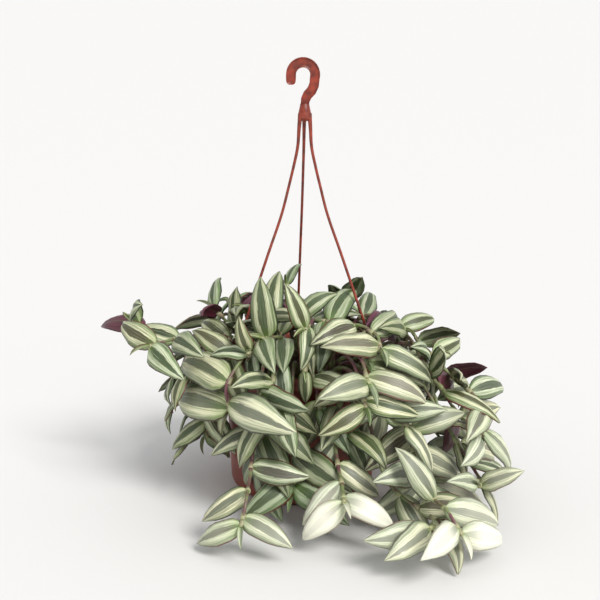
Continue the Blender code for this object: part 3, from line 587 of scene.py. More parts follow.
@dataclass(frozen=True)
class LeafFace:
    """The upper face of a leaf: a dark band along the rib, a silver band each side, a green border."""

    rib: tuple = rgb(64, 75, 53)
    rib_brown: tuple = rgb(82, 69, 56)
    silver: tuple = rgb(194, 198, 166)
    silver_pale: tuple = rgb(238, 235, 206)
    border: tuple = rgb(100, 117, 78)
    streak: tuple = rgb(86, 98, 66)
    margin: tuple = rgb(38, 46, 28)
    margin_red: tuple = rgb(92, 46, 38)
    outline: tuple = rgb(46, 44, 30)
    fresh: tuple = rgb(128, 164, 66)
    # Painted glare: the near-white that leaves in the strongest light are painted towards.
    glare_white: tuple = rgb(252, 250, 232)
    # Painted shade with age dulling: the colours that silver and rib turn to on shaded and older leaves.
    shade_and_age: tuple = rgb(124, 138, 112)
    shade_and_age_rib: tuple = rgb(66, 80, 56)
    warm: tuple = (1.0, 0.95, 0.82, 1.0)
    cool: tuple = (0.88, 0.98, 0.95, 1.0)
    fine_fibres: tuple = (25.0, 1.6)  # cells across the blade and along it
    broad_fibres: tuple = (9.0, 1.3)
    ragged_fibres: tuple = (12.0, 5.0)
    fibre_shift: float = 37.0  # from leaf to leaf
    fibre_roughness: float = 0.6
    raggedness: float = 0.24
    silver_patches: Fade = Fade(0.34, 0.7)
    silver_green: Fade = Fade(0.46, 0.63, 0.66)
    silver_bright: Fade = Fade(0.44, 0.32, 0.6)
    # Share of painted shade with age dulling on the silver.
    silver_shade_and_age: float = 0.8
    border_edge: Fade = Fade(0.6, 0.76, 0.95)  # of the half width
    border_green: Fade = Fade(0.46, 0.63, 0.6)
    border_bright: Fade = Fade(0.5, 0.34, 0.7)
    rib_half: float = 0.25  # of the half width, where the rib's band is widest
    rib_widths: tuple = (0.75, 0.5)  # the least width's share, and how much may be added
    rib_gaps: tuple = (-0.07, -0.05, 0.015, 0.06, 0.075)  # from the band's edge to where its steps lie
    rib_mottle: float = 0.4
    rib_brownness: Fade = Fade(0.8, 1.2)
    rib_bright: Fade = Fade(0.54, 0.72, 0.5)
    # Share of painted shade with age dulling on the rib.
    rib_shade_and_age: float = 0.7
    keel: Fade = Fade(0.06, 0.015, 0.5)
    outline_share: float = 0.85
    margin_edge: Fade = Fade(0.9, 0.95)
    margin_redness: Fade = Fade(0.4, 0.8)
    # Painted glare on the margin, towards the pale silver.
    margin_glare: float = 0.4
    margin_raggedness: float = 0.3
    green_foot: Fade = Fade(0.26, 0.0)
    green_youth: tuple = (0.7, 0.22)  # for each unit of youth, and at least
    young_share: float = 0.3
    greener_share: float = 0.28
    tint_share: float = 0.8
    # Painted glare along the blade, growing from its foot towards its tip, with a share at the foot.
    glare_towards_tip: Fade = Fade(0.04, 0.42, 0.48)
    pale_foot: float = 0.28
    width_cycles: float = 7.3  # three unlike numbers, so that width, green and tint vary apart
    green_cycles: float = 3.7
    tint_cycles: float = 5.1
    ridge_pitch: float = 46.0
    ridge_share: float = 0.3
    relief: Relief = Relief(0.4, 0.4 * MM)
    roughness: float = 0.26
    fibre_gloss: float = 0.3

    def material(self) -> Material:
        """Stripes over the blade's own map, laid from the silver band out to the margin.

        Returns:
            The material.
        """
        sheet = BladeShading("leaf_face")
        fine, broad, ragged = (sheet.fibres(counts, self.fibre_shift, self.fibre_roughness)
                               for counts in (self.fine_fibres, self.broad_fibres, self.ragged_fibres))
        wander = sheet.math("MULTIPLY_ADD", ragged, self.raggedness, -0.5 * self.raggedness)
        edge = sheet.math("ADD", sheet.across, wander)
        band, line = self.rib_shares(sheet, edge)
        colour = sheet.layered(self.silver_band(sheet, fine, broad),
                               (sheet.fade(edge, self.border_edge), self.border_band(sheet, fine)),
                               (band, self.rib_band(sheet, fine, broad)),
                               (sheet.times(line, self.outline_share), self.outline))
        margin = sheet.layered(self.margin,
                               (sheet.fade(sheet.tone, self.margin_redness), self.margin_red),
                               (sheet.times(sheet.glare, self.margin_glare), self.silver_pale))
        rim = sheet.math("MULTIPLY_ADD", wander, self.margin_raggedness, sheet.across)
        colour = sheet.mix(sheet.fade(rim, self.margin_edge), self.youth_tint_and_glare(sheet, colour), margin)
        ridges = sheet.math("SINE", sheet.times(sheet.signed, self.ridge_pitch))
        sheet.bump(sheet.math("MULTIPLY_ADD", ridges, self.ridge_share, fine), self.relief)
        return sheet.surface(colour, sheet.math("MULTIPLY_ADD", fine, self.fibre_gloss, self.roughness))

    def silver_band(self, sheet: BladeShading, fine: NodeSocket, broad: NodeSocket) -> NodeSocket:
        """The silver beside the rib, with green and pale fibres.

        Args:
            sheet: the leaf's node tree.
            fine: the fine fibres.
            broad: the broad fibres.

        Returns:
            The colour's socket.
        """
        return sheet.layered(self.silver,
                             (sheet.fade(broad, self.silver_patches), self.silver_pale),
                             (sheet.fade(fine, self.silver_green), self.streak),
                             (sheet.fade(fine, self.silver_bright), self.silver_pale),
                             (sheet.times(sheet.shaded_and_aged, self.silver_shade_and_age), self.shade_and_age))

    def border_band(self, sheet: BladeShading, fine: NodeSocket) -> NodeSocket:
        """The green towards the margin, with silver fibres."""
        return sheet.layered(self.border, (sheet.fade(fine, self.border_green), self.streak),
                             (sheet.fade(fine, self.border_bright), self.silver))

    def rib_band(self, sheet: BladeShading, fine: NodeSocket, broad: NodeSocket) -> NodeSocket:
        """The dark band along the rib, greener or browner from leaf to leaf, with a darker keel.

        Args:
            sheet: the leaf's node tree.
            fine: the fine fibres.
            broad: the broad fibres.

        Returns:
            The colour's socket.
        """
        browner = sheet.math("ADD", sheet.tone, sheet.times(broad, self.rib_mottle))
        return sheet.layered(self.rib,
                             (sheet.fade(browner, self.rib_brownness), self.rib_brown),
                             (sheet.fade(fine, self.rib_bright), self.silver),
                             (sheet.times(sheet.shaded_and_aged, self.rib_shade_and_age), self.shade_and_age_rib),
                             (sheet.fade(sheet.across, self.keel), self.margin))

    def rib_shares(self, sheet: BladeShading, edge: NodeSocket) -> tuple[NodeSocket, NodeSocket]:
        """Where the rib's band lies, narrow at both ends, and the thin line along its edges.

        Args:
            sheet: the leaf's node tree.
            edge: the ragged distance from the rib.

        Returns:
            The shares of the band and of the line.
        """
        least, more = self.rib_widths
        belly = sheet.math("SINE", sheet.times(sheet.y, math.pi))
        taper = sheet.math("MULTIPLY_ADD", belly, 0.5 * self.rib_half, 0.5 * self.rib_half)
        half = sheet.times(sheet.math("MULTIPLY_ADD", sheet.drawn(self.width_cycles), more, least), taper)
        line_start, band_full, line_full, band_end, line_end = (
            sheet.math("ADD", half, gap) for gap in self.rib_gaps)
        line = sheet.times(sheet.between(edge, line_start, half), sheet.between(edge, line_end, line_full))
        return sheet.between(edge, band_end, band_full), line

    def youth_tint_and_glare(self, sheet: BladeShading, colour: NodeSocket) -> NodeSocket:
        """Fresh green at the blade's foot and on young leaves, one tint a leaf, and painted glare growing
        towards the tip.

        Args:
            sheet: the leaf's node tree.
            colour: the colour below.

        Returns:
            The colour's socket.
        """
        green = sheet.times(sheet.fade(sheet.y, self.green_foot),
                            sheet.math("MULTIPLY_ADD", sheet.youth, *self.green_youth))
        colour = sheet.layered(colour, (green, self.fresh),
                               (sheet.times(sheet.youth, self.young_share), self.fresh),
                               (sheet.times(sheet.drawn(self.green_cycles), self.greener_share),
                                self.streak))
        tint = sheet.mix(sheet.drawn(self.tint_cycles), self.cool, self.warm)
        colour = sheet.mix(self.tint_share, colour, tint, "MULTIPLY")
        # Painted glare, stronger towards the tip.
        glare_spread = sheet.math("ADD", sheet.fade(sheet.y, self.glare_towards_tip), self.pale_foot)
        return sheet.mix(sheet.times(sheet.glare, glare_spread), colour, self.glare_white)


@dataclass(frozen=True)
class LeafBack:
    """The purple underside of a leaf."""

    purple: tuple = rgb(68, 28, 42)
    wine: tuple = rgb(110, 50, 68)
    green: tuple = rgb(104, 98, 74)
    fibres: tuple = (30.0, 2.0)  # cells across the blade and along it
    fibre_shift: float = 29.0
    streaks: Fade = Fade(0.35, 0.7)
    keel: Fade = Fade(0.09, 0.02, 0.5)
    young_share: float = 0.4
    # Share of the painted light (glare above 0, shade below 0) in the underside's green.
    pale_share: float = 0.5
    relief: Relief = Relief(0.3, 0.3 * MM)
    roughness: float = 0.38

    def material(self) -> Material:
        """Wine-coloured streaks, with a greener rib.

        Returns:
            The material.
        """
        sheet = BladeShading("leaf_back")
        fine = sheet.fibres(self.fibres, self.fibre_shift)
        # Youth makes the underside greener; painted glare greens and lightens it, and painted shade takes
        # that green away.
        youth_glare_and_shade = sheet.math("MULTIPLY_ADD", sheet.youth, self.young_share,
                             sheet.times(sheet.pale, self.pale_share))
        colour = sheet.layered(self.purple, (sheet.fade(fine, self.streaks), self.wine),
                               (sheet.fade(sheet.across, self.keel), self.green), (youth_glare_and_shade, self.green))
        sheet.bump(fine, self.relief)
        return sheet.surface(colour, self.roughness)


@dataclass(frozen=True)
class StemSkin:
    """A stem: green flushed with purple, with pale sheaths at its joints."""

    green: tuple = rgb(118, 132, 84)
    purple: tuple = rgb(104, 62, 70)
    sheath: tuple = rgb(176, 176, 134)
    flush_scale: float = 90.0
    flush: Fade = Fade(0.35, 0.65)
    sheath_share: float = 0.8
    grain_scale: float = 900.0
    relief: Relief = Relief(0.3, 0.2 * MM)
    roughness: float = 0.42

    def material(self) -> Material:
        """Purple flushes over green, and sheaths from the stem's own attribute.

        Returns:
            The material.
        """
        sheet = Shading("stem_skin")
        place = sheet.place()
        colour = sheet.layered(self.green,
                               (sheet.fade(sheet.noise(place, self.flush_scale), self.flush), self.purple),
                               (sheet.times(sheet.look()[0], self.sheath_share), self.sheath))
        sheet.bump(sheet.noise(place, self.grain_scale), self.relief)
        return sheet.surface(colour, self.roughness)


@dataclass(frozen=True)
class MouldedPlastic:
    """Terracotta-coloured plastic, matt with a faint mottle and dust."""

    name: str = "moulded_plastic"
    colour: tuple = rgb(146, 66, 48)
    deep: tuple = rgb(108, 44, 32)
    dust: tuple = rgb(162, 116, 98)
    mottle_scale: float = 45.0
    mottle: Fade = Fade(0.3, 0.7)
    dust_scale: float = 18.0
    film: Fade = Fade(0.5, 0.75)
    dust_share: float = 0.25
    dust_roughness: float = 0.25
    grain_scale: float = 1400.0
    relief: Relief = Relief(0.25, 0.08 * MM)
    roughness: float = 0.42

    def material(self) -> Material:
        """A mottled red-brown with a fine moulded grain.

        Returns:
            The material.
        """
        sheet = Shading(self.name)
        place = sheet.place()
        mottle = sheet.fade(sheet.noise(place, self.mottle_scale, 5.0, 0.6), self.mottle)
        film = sheet.fade(sheet.noise(place, self.dust_scale, 6.0, 0.7), self.film)
        colour = sheet.layered(self.deep, (mottle, self.colour),
                               (sheet.times(film, self.dust_share), self.dust))
        sheet.bump(sheet.noise(place, self.grain_scale, 2.0), self.relief)
        return sheet.surface(colour, sheet.math("MULTIPLY_ADD", film, self.dust_roughness, self.roughness))


@dataclass(frozen=True)
class SoilFinish:
    """Dark peaty compost."""

    dark: tuple = rgb(38, 28, 22)
    brown: tuple = rgb(92, 68, 52)
    crumb_scale: float = 420.0
    crumbs: Fade = Fade(0.4, 0.7)
    relief: Relief = Relief(0.9, 1.5 * MM)
    roughness: float = 0.95
    specular: float = 0.2

    def material(self) -> Material:
        """Crumbs of two browns, rough all over.

        Returns:
            The material.
        """
        sheet = Shading("compost")
        crumbs = sheet.noise(sheet.place(), self.crumb_scale, 6.0, 0.7)
        colour = sheet.mix(sheet.fade(crumbs, self.crumbs), self.dark, self.brown)
        sheet.bump(crumbs, self.relief)
        return sheet.surface(colour, self.roughness, self.specular)


@dataclass(frozen=True)
class TableFinish:
    """The plain pale surface that the pot stands on."""

    colour: tuple = rgb(222, 221, 219)
    roughness: float = 0.7
    specular: float = 0.3

    def material(self) -> Material:
        """A near-white matt surface."""
        return Shading("table_top").surface(self.colour, self.roughness, self.specular)


# ---------------------------------------------------------------- how the plant grows


def smooth_route(points: list[Vector], step: float) -> list[Vector]:
    """A smooth line through points, with an even step, as a Catmull-Rom curve.

    Args:
        points: the points of the line.
        step: the distance between points, in metres.

    Returns:
        Points an even step apart on the smooth line.
    """
    padded = [2 * points[0] - points[1], *points, 2 * points[-1] - points[-2]]
    fine = []
    for a, b, c, d in zip(padded, padded[1:], padded[2:], padded[3:]):
        for number in range(CURVE_STEPS):
            t = number / CURVE_STEPS
            fine.append(0.5 * (2 * b + (c - a) * t + (2 * a - 5 * b + 4 * c - d) * t**2
                               + (3 * b - 3 * c + d - a) * t**3))
    fine.append(points[-1].copy())
    return resample(fine, step)


def resample(points: list[Vector], step: float) -> list[Vector]:
    """The same line with points an even step apart.

    Args:
        points: the points of the line.
        step: the distance between points, in metres.

    Returns:
        Points an even step apart.
    """
    lengths = [0.0]
    for first, second in zip(points, points[1:]):
        lengths.append(lengths[-1] + (second - first).length)
    count = max(2, round(lengths[-1] / step))
    made = []
    index = 0
    for number in range(count + 1):
        target = lengths[-1] * number / count
        while index < len(lengths) - 2 and lengths[index + 1] < target:
            index += 1
        span = lengths[index + 1] - lengths[index]
        made.append(points[index].lerp(points[index + 1], (target - lengths[index]) / span))
    return made


def along(route: list[Vector], distance_from_tip: float) -> tuple[Vector, Vector]:
    """The point and direction at a distance back from the tip of an evenly spaced line.

    Args:
        route: the stem's fine route.
        distance_from_tip: how far back from the tip, in metres.

    Returns:
        The point and the direction of the stem there.
    """
    step = (route[1] - route[0]).length
    place = len(route) - 1 - distance_from_tip / step
    index = max(0, min(len(route) - 2, int(place)))
    point = route[index].lerp(route[index + 1], place - index)
    before = route[max(0, index - 2)]
    after = route[min(len(route) - 1, index + 3)]
    return point, (after - before).normalized()


@dataclass
class Leaf:
    """One leaf's root, the way it points, the normal of its upper face, its length and its bend."""

    root: Vector
    direction: Vector
    normal: Vector
    length: float
    arch: float
    age: Age
    draw: random.Random
    width_share: float = 0.205  # the half width's share of the length
    roof_share: float = 0.2
    grown_stations: tuple = ((0.24, 0.96), (0.64, 0.82))  # shares of the length and of the half width
    young_stations: tuple = ((0.36, 0.9),)
    young_thickness: float = 0.55
    furl: float = 1.75  # radians, from a young leaf's rib to its edge
    samples: int = 41  # along the rib
    curls: tuple = (0.1, 1.0)  # radians, of the tip
    waves: tuple = (0.4, 1.3)  # of the ripple's height
    phases: tuple = (0.0, 6.3)
    twists: tuple = (-0.14, 0.14)
    bows: tuple = (-1.0, 1.0)
    curl_from: float = 0.7  # of the length
    bow_share: float = 0.035  # of the length
    sway: tuple = (0.05, 11.0)  # of the half width, and radians along the leaf
    dome: tuple = (0.13, 0.25)  # the rise between rib and edge, and the edge's fall
    ripple: tuple = (0.8 * MM, 14.0)  # height, and radians along the leaf

    def __post_init__(self) -> None:
        """Set the normal square to the leaf's direction."""
        self.normal = (self.normal - self.direction * self.normal.dot(self.direction)).normalized()

    def key_points(self) -> list[Vector]:
        """Points that the leaf's solid has: its tip and the outer corners of its stations.

        Returns:
            The points, in the plant's frame.
        """
        stations = self.grown_stations if self.age is Age.GROWN else self.young_stations
        made = [self.middle(1.0, 0.0)]
        for share, width in stations:
            made += [self.middle(share, width), self.middle(share, -width)]
        return made

    def middle(self, share: float, across: float) -> Vector:
        """A point of the solid's middle surface, at a share of the length and of the half width.

        Args:
            share: the share of the leaf's length.
            across: the share of the half width, from -1 to 1.

        Returns:
            The point, in the plant's frame.
        """
        side = self.direction.cross(self.normal)
        angle = self.arch * share
        forward = math.sin(angle) / self.arch
        drop = (1 - math.cos(angle)) / self.arch
        rib = self.root + self.length * (self.direction * forward - self.normal * drop)
        facing = self.normal * math.cos(angle) + self.direction * math.sin(angle)
        half_width = self.length * self.width_share
        return rib + side * across * half_width - facing * abs(across) * self.roof_share * half_width

    def bent(self, points: np.ndarray, sheet: "LeafSheet") -> np.ndarray:
        """The points of a flat sheet bent to this leaf.

        Args:
            points: (count, 3) points of the flat sheet, in metres.
            sheet: the flat sheet that they belong to.

        Returns:
            The points in the plant's frame.
        """
        share = points[:, 1] / sheet.length
        across = points[:, 0] / sheet.half_width
        room = np.interp(share, *zip(*sheet.stations))
        half = self.length * self.width_share
        edge = np.clip(np.abs(across) / np.maximum(room, 0.02), 0.0, 1.0)
        curl, wave, phase, twist, bow = (self.draw.uniform(*span) for span in (
            self.curls, self.waves, self.phases, self.twists, self.bows))
        samples = np.linspace(0.0, 1.0, self.samples)
        angles = self.arch * samples + curl * np.clip(samples - self.curl_from, 0.0, 1.0) * 2.0
        forward, drop = self.summed(np.cos(angles)), self.summed(np.sin(angles))
        turn = np.interp(share, samples, angles)
        direction, normal = np.array(self.direction), np.array(self.normal)
        side = np.cross(direction, normal)
        rib = np.array(self.root) + self.length * (np.outer(np.interp(share, samples, forward), direction)
                                                   - np.outer(np.interp(share, samples, drop), normal))
        facing = np.outer(np.cos(turn), normal) + np.outer(np.sin(turn), direction)
        if self.age is Age.GROWN:
            (sway_share, sway_turn), (rise, fall), (ripple, ripple_turn) = self.sway, self.dome, self.ripple
            sway = across * half * (1.0 + sway_share * np.sin(sway_turn * share + 2.0 * phase))
            sway += self.bow_share * bow * self.length * np.sin(math.pi * share)
            dome = half * room * (rise * np.sin(math.pi * edge) - fall * edge**2)
            ripples = np.sin(ripple_turn * share + phase + 1.7 * np.sign(across))
            dome += wave * ripple * edge**2 * ripples + across * half * twist * share
        else:
            radius = np.maximum(half * room, 0.05 * MM) / self.furl
            roll = np.sign(across) * edge * self.furl
            sway = radius * np.sin(roll)
            dome = radius * (1.0 - np.cos(roll))
        height = dome + points[:, 2] * (self.young_thickness if self.age is Age.YOUNG else 1.0)
        return rib + np.outer(sway, side) + facing * height[:, None]

    @staticmethod
    def summed(values: np.ndarray) -> np.ndarray:
        """The running integral of evenly spaced values over a length of 1."""
        return np.concatenate([[0.0], np.cumsum(values[:-1] + values[1:]) / (2 * len(values) - 2)])


@dataclass
class Growth:
    """The rule by which a stem is routed and its leaves are set, shared with the plant's solids."""

    soil_edge: float = 103 * MM
    soil_crown: float = 3 * MM
    soil_lump: float = 1.2 * MM
    lump_sizes: tuple = (7 * MM, 6 * MM, 5 * MM)
    soil_radius: float = 66.9 * MM
    upright: float = 15 * MM
    hole_depth: float = 8.7 * MM
    line_step: float = 23 * MM
    route_step: float = 2 * MM
    pair_spacing: float = 6 * MM
    tip_inset: float = 1.5 * MM  # between the tip and its nearest leaf
    bare_foot: float = 12 * MM  # no leaf grows nearer to the soil
    light_reach: float = 110 * MM  # where leaves face outwards most
    light_rise: float = 1.15
    light_fall: float = 0.45
    light_lean: float = 1.1
    arch: float = 58.0  # degrees
    young_arch: float = 30.0
    young_share: float = 0.4
    lifts: tuple = (0, 7, -7, 15, -15, 24, -24, 34)
    swings: tuple = (0, 8, -8, 17, -17, 28, -28)
    rolls: tuple = (0, 20, -20)
    sizes: tuple = (1.0, 0.88, 0.76, 0.64)
    bend_units: tuple = (10, 10, 16, 0.12)  # how much lift, swing, roll and shrinking count as 1
    most_bend: float = 13.0
    turn_jitter: float = 8.0  # degrees
    roll_jitter: float = 14.0
    arch_jitter: tuple = (-18, 14)
    size_jitter: tuple = (0.94, 1.06)
    young_swing: float = 0.3
    young_rise: float = 0.45

    def soil_height(self, x: float, y: float) -> float:
        """The height of the soil's lumpy, slightly domed top.

        Args:
            x: the place along X, in metres.
            y: the place along Y, in metres.

        Returns:
            The soil's height there, in metres.
        """
        share = min(1.0, math.hypot(x, y) / self.soil_radius)
        wide, long, slant = self.lump_sizes
        lumps = math.sin(x / wide) * math.cos(y / long) + 0.5 * math.sin((x + 2 * y) / slant)
        return self.soil_edge + self.soil_crown * (1 - share**2) + self.soil_lump * lumps * (1 - share**4)

    def light(self, point: Vector) -> Vector:
        """Where a leaf at a point looks: up and outwards from the middle of the plant.

        Args:
            point: the point in the plant's frame.

        Returns:
            The unit direction that a leaf there faces.
        """
        outward_way = Vector((point.x, point.y, 0.0))
        share = min(1.0, outward_way.length / self.light_reach)
        rise = UP * (self.light_rise - self.light_fall * share)
        return (rise + outward_way.normalized() * share * self.light_lean).normalized()

    def line(self, stem: Stem) -> tuple[Vector, list[Vector]]:
        """A stem's foot in its hole, and the corners of its line.

        Args:
            stem: the stem.

        Returns:
            The stem's sunk foot and the corners of its line.
        """
        x, y = stem.root[0] * MM, stem.root[1] * MM
        top = self.soil_height(x, y)
        start = Vector((x, y, top + self.upright))
        curve = smooth_route([start, *(Vector(point) * MM for point in stem.passes)], self.route_step)
        return Vector((x, y, top - self.hole_depth)), resample(curve, self.line_step)

    def bends(self) -> list[tuple]:
        """Every bend a leaf may take (lift, swing and roll in degrees, and size), the least first.

        Returns:
            Lift, swing, roll and size of each bend, the mildest first.
        """
        made = []
        for lift, swing, roll, size in itertools.product(self.lifts, self.swings, self.rolls, self.sizes):
            amounts = zip((lift, swing, roll, 1 - size), self.bend_units)
            effort = sum((amount / unit) ** 2 for amount, unit in amounts)
            if effort < self.most_bend:
                made.append((round(effort, 3), lift, swing, roll, size))
        return [bend[1:] for bend in sorted(made)]

    def places(self, stem: Stem, route: list[Vector]) -> list[float]:
        """Distances from the tip of a stem's leaves: a pair at the tip, then one at each joint.

        Args:
            stem: the stem.
            route: the stem's fine route.

        Returns:
            Each leaf's distance from the tip, in metres.
        """
        length = (route[1] - route[0]).length * (len(route) - 1)
        made = [self.tip_inset, self.tip_inset + self.pair_spacing]
        while len(made) < stem.leaves - 1:
            made.append(made[-1] + stem.internode * MM)
        return [place for place in made if place < length - self.bare_foot]

    def grown_leaf(self, stem: Stem, route: list[Vector], number: int, place: float, bend: tuple) -> Leaf:
        """The leaf of a stem at a place, bent by a lift, a swing and a roll and scaled by a size.

        Args:
            stem: the stem.
            route: the stem's fine route.
            number: the leaf's number, counted back from the tip.
            place: the leaf's distance from the tip, in metres.
            bend: the lift, swing, roll and size to try.

        Returns:
            The leaf in that bend.
        """
        draw = random.Random(f"{stem.name}-{number}")
        lift, swing, roll, size = bend
        point, ahead = along(route, place)
        light = self.light(point)
        side = ahead.cross(light).normalized()
        face = side.cross(ahead)
        turned_side = Matrix.Rotation(math.radians(stem.turn), 3, ahead) @ side
        hand = 1 if number % 2 else -1
        jitter, roll_jitter = self.turn_jitter, self.roll_jitter
        spread = math.radians(stem.spread + draw.uniform(-jitter, jitter) + swing)
        rise = math.radians(stem.lift + draw.uniform(-jitter, jitter) + lift)
        flat = ahead * math.cos(spread) + turned_side * hand * math.sin(spread)
        direction = (flat * math.cos(rise) + face * math.sin(rise)).normalized()
        tilt = Matrix.Rotation(math.radians(draw.uniform(-roll_jitter, roll_jitter) + roll), 3, direction)
        length = stem.grown * MM * draw.uniform(*self.size_jitter) * size
        arch = math.radians(self.arch + draw.uniform(*self.arch_jitter))
        return Leaf(point, direction, tilt @ light, length, arch, Age.GROWN, draw)

    def young_leaf(self, stem: Stem, route: list[Vector], bend: tuple) -> Leaf:
        """The half-furled leaf at a stem's tip, bent as a grown leaf is.

        Args:
            stem: the stem.
            route: the stem's fine route.
            bend: the lift, swing, roll and size to try.

        Returns:
            The young leaf in that bend.
        """
        draw = random.Random(f"{stem.name}-young")
        lift, swing, roll, size = bend
        point, ahead = along(route, 0.0)
        light = self.light(point)
        side = ahead.cross(light).normalized()
        sideways = draw.uniform(-self.young_swing, self.young_swing) + math.radians(swing)
        upwards = self.young_rise + math.radians(lift)
        direction = (ahead + side * sideways + light * upwards).normalized()
        length = self.young_share * stem.grown * MM * size
        tilt = Matrix.Rotation(math.radians(roll), 3, direction)
        return Leaf(point - self.tip_inset * ahead, direction, tilt @ light, length,
                    math.radians(self.young_arch), Age.YOUNG, draw)


# ---------------------------------------------------------------- foliage


@dataclass
class LeafSheet:
    """A leaf laid flat, modelled once: a tapered grid with a thickness, ready to be bent."""

    age: Age
    length: float = 50 * MM
    half_width: float = 10.25 * MM
    thickness: float = 0.6 * MM
    stations: tuple = ((0.0, 0.12), (0.05, 0.55), (0.13, 0.84), (0.23, 0.98), (0.35, 1.0), (0.48, 0.95),
                       (0.61, 0.83), (0.74, 0.63), (0.86, 0.38), (0.95, 0.15), (1.0, 0.02))
    columns: int = 6
    points: np.ndarray = field(default=None, repr=False)
    mesh: Mesh = field(default=None, repr=False)

    def model(self) -> None:
        """Model the flat sheet: lay a grid, move and taper its rows, and thicken it."""
        deselect_all()
        rows = len(self.stations) - 1
        bpy.ops.mesh.primitive_grid_add(x_subdivisions=self.columns, y_subdivisions=rows, size=1.0)
        sheet = added(f"{self.age.value}_leaf_sheet")
        sheet.scale = (2 * self.half_width, self.length, 1.0)
        sheet.location = (0.0, self.length / 2, 0.0)
        apply_place(sheet)
        self.taper(sheet)
        shell = sheet.modifiers.new("Thickness", "SOLIDIFY")
        shell.thickness = self.thickness
        shell.offset = 0.0
        shell.material_offset = 1
        shell.material_offset_rim = 1
        for slot_name in ("upper", "under"):
            sheet.data.materials.append(bpy.data.materials.new(slot_name))
        apply_modifier(sheet, shell)
        self.mesh = sheet.data
        self.points = np.empty(3 * len(self.mesh.vertices))
        self.mesh.vertices.foreach_get("co", self.points)
        self.points = self.points.reshape(-1, 3)
        bpy.data.objects.remove(sheet)

    def taper(self, sheet: Object) -> None:
        """Move each row of the grid to its station and draw it in to the outline's width.

        Args:
            sheet: the grid to shape.
        """
        places = sorted({round(vert.co.y, 6) for vert in sheet.data.vertices})
        rows = [[vert.index for vert in sheet.data.vertices if abs(vert.co.y - place) < 0.01 * MM]
                for place in places]
        for (share, width), row in zip(self.stations, rows):
            with editing(sheet, "VERT", "DESELECT"):
                bpy.ops.object.mode_set(mode="OBJECT")
                for index in row:
                    sheet.data.vertices[index].select = True
                bpy.ops.object.mode_set(mode="EDIT")
                bpy.ops.transform.resize(value=(width, 1.0, 1.0), center_override=(0.0, 0.0, 0.0))
            for index in row:
                sheet.data.vertices[index].co.y = share * self.length
        layer = sheet.data.uv_layers.active
        layer.name = BLADE_MAP
        for loop in sheet.data.loops:
            spot = layer.data[loop.index].uv
            spot.y = sheet.data.vertices[loop.vertex_index].co.y / self.length

    def copy_for(self, leaf: Leaf, look: tuple[float, float, float]) -> Object:
        """A copy of the sheet bent to a leaf, with the leaf's own look on each point.

        Args:
            leaf: where and how the leaf grows.
            look: the leaf's tone, its painted light (painted glare above 0, painted shade with age dulling
                below 0) and its youth.

        Returns:
            The leaf's object.
        """
        mesh = self.mesh.copy()
        mesh.vertices.foreach_set("co", leaf.bent(self.points, self).ravel())
        mark = mesh.attributes.new(LOOK, "FLOAT_VECTOR", "POINT")
        mark.data.foreach_set("vector", np.tile(look, len(mesh.vertices)))
        mesh.shade_smooth()
        mesh.update()
        return linked("blade", mesh)


@dataclass
class Sheath:
    """The short clasping sheath where a leaf leaves its stem, modelled once."""

    length: float = 7.5 * MM
    overlap: float = 0.75  # the share of it that lies before the joint
    profile: tuple = ((1.75, 0.0), (2.1, 2.4), (2.35, 5.4), (2.5, 7.5), (1.6, 7.3))
    sides: int = 8
    mesh: Mesh = field(default=None, repr=False)

    def model(self) -> None:
        """Raise the sheath from a circle."""
        profile = [(radius * MM, height * MM) for radius, height in self.profile]
        shape = lathe("sheath_pattern", profile, self.sides)
        self.mesh = shape.data
        self.mesh.shade_smooth()
        mark = self.mesh.attributes.new(LOOK, "FLOAT_VECTOR", "POINT")
        looks = [(min(1.0, vert.co.z / self.length), 0.0, 0.0) for vert in self.mesh.vertices]
        mark.data.foreach_set("vector", np.array(looks).ravel())
        bpy.data.objects.remove(shape)

    def copy_at(self, point: Vector, ahead: Vector) -> Object:
        """A copy that clasps the stem just below a point.

        Args:
            point: the joint's place.
            ahead: the way that the stem runs there.

        Returns:
            The sheath's object.
        """
        mesh = self.mesh.copy()
        turned = ahead.to_track_quat("Z", "Y").to_matrix().to_4x4()
        mesh.transform(Matrix.Translation(point - ahead * self.length * self.overlap) @ turned)
        return linked("sheath", mesh)


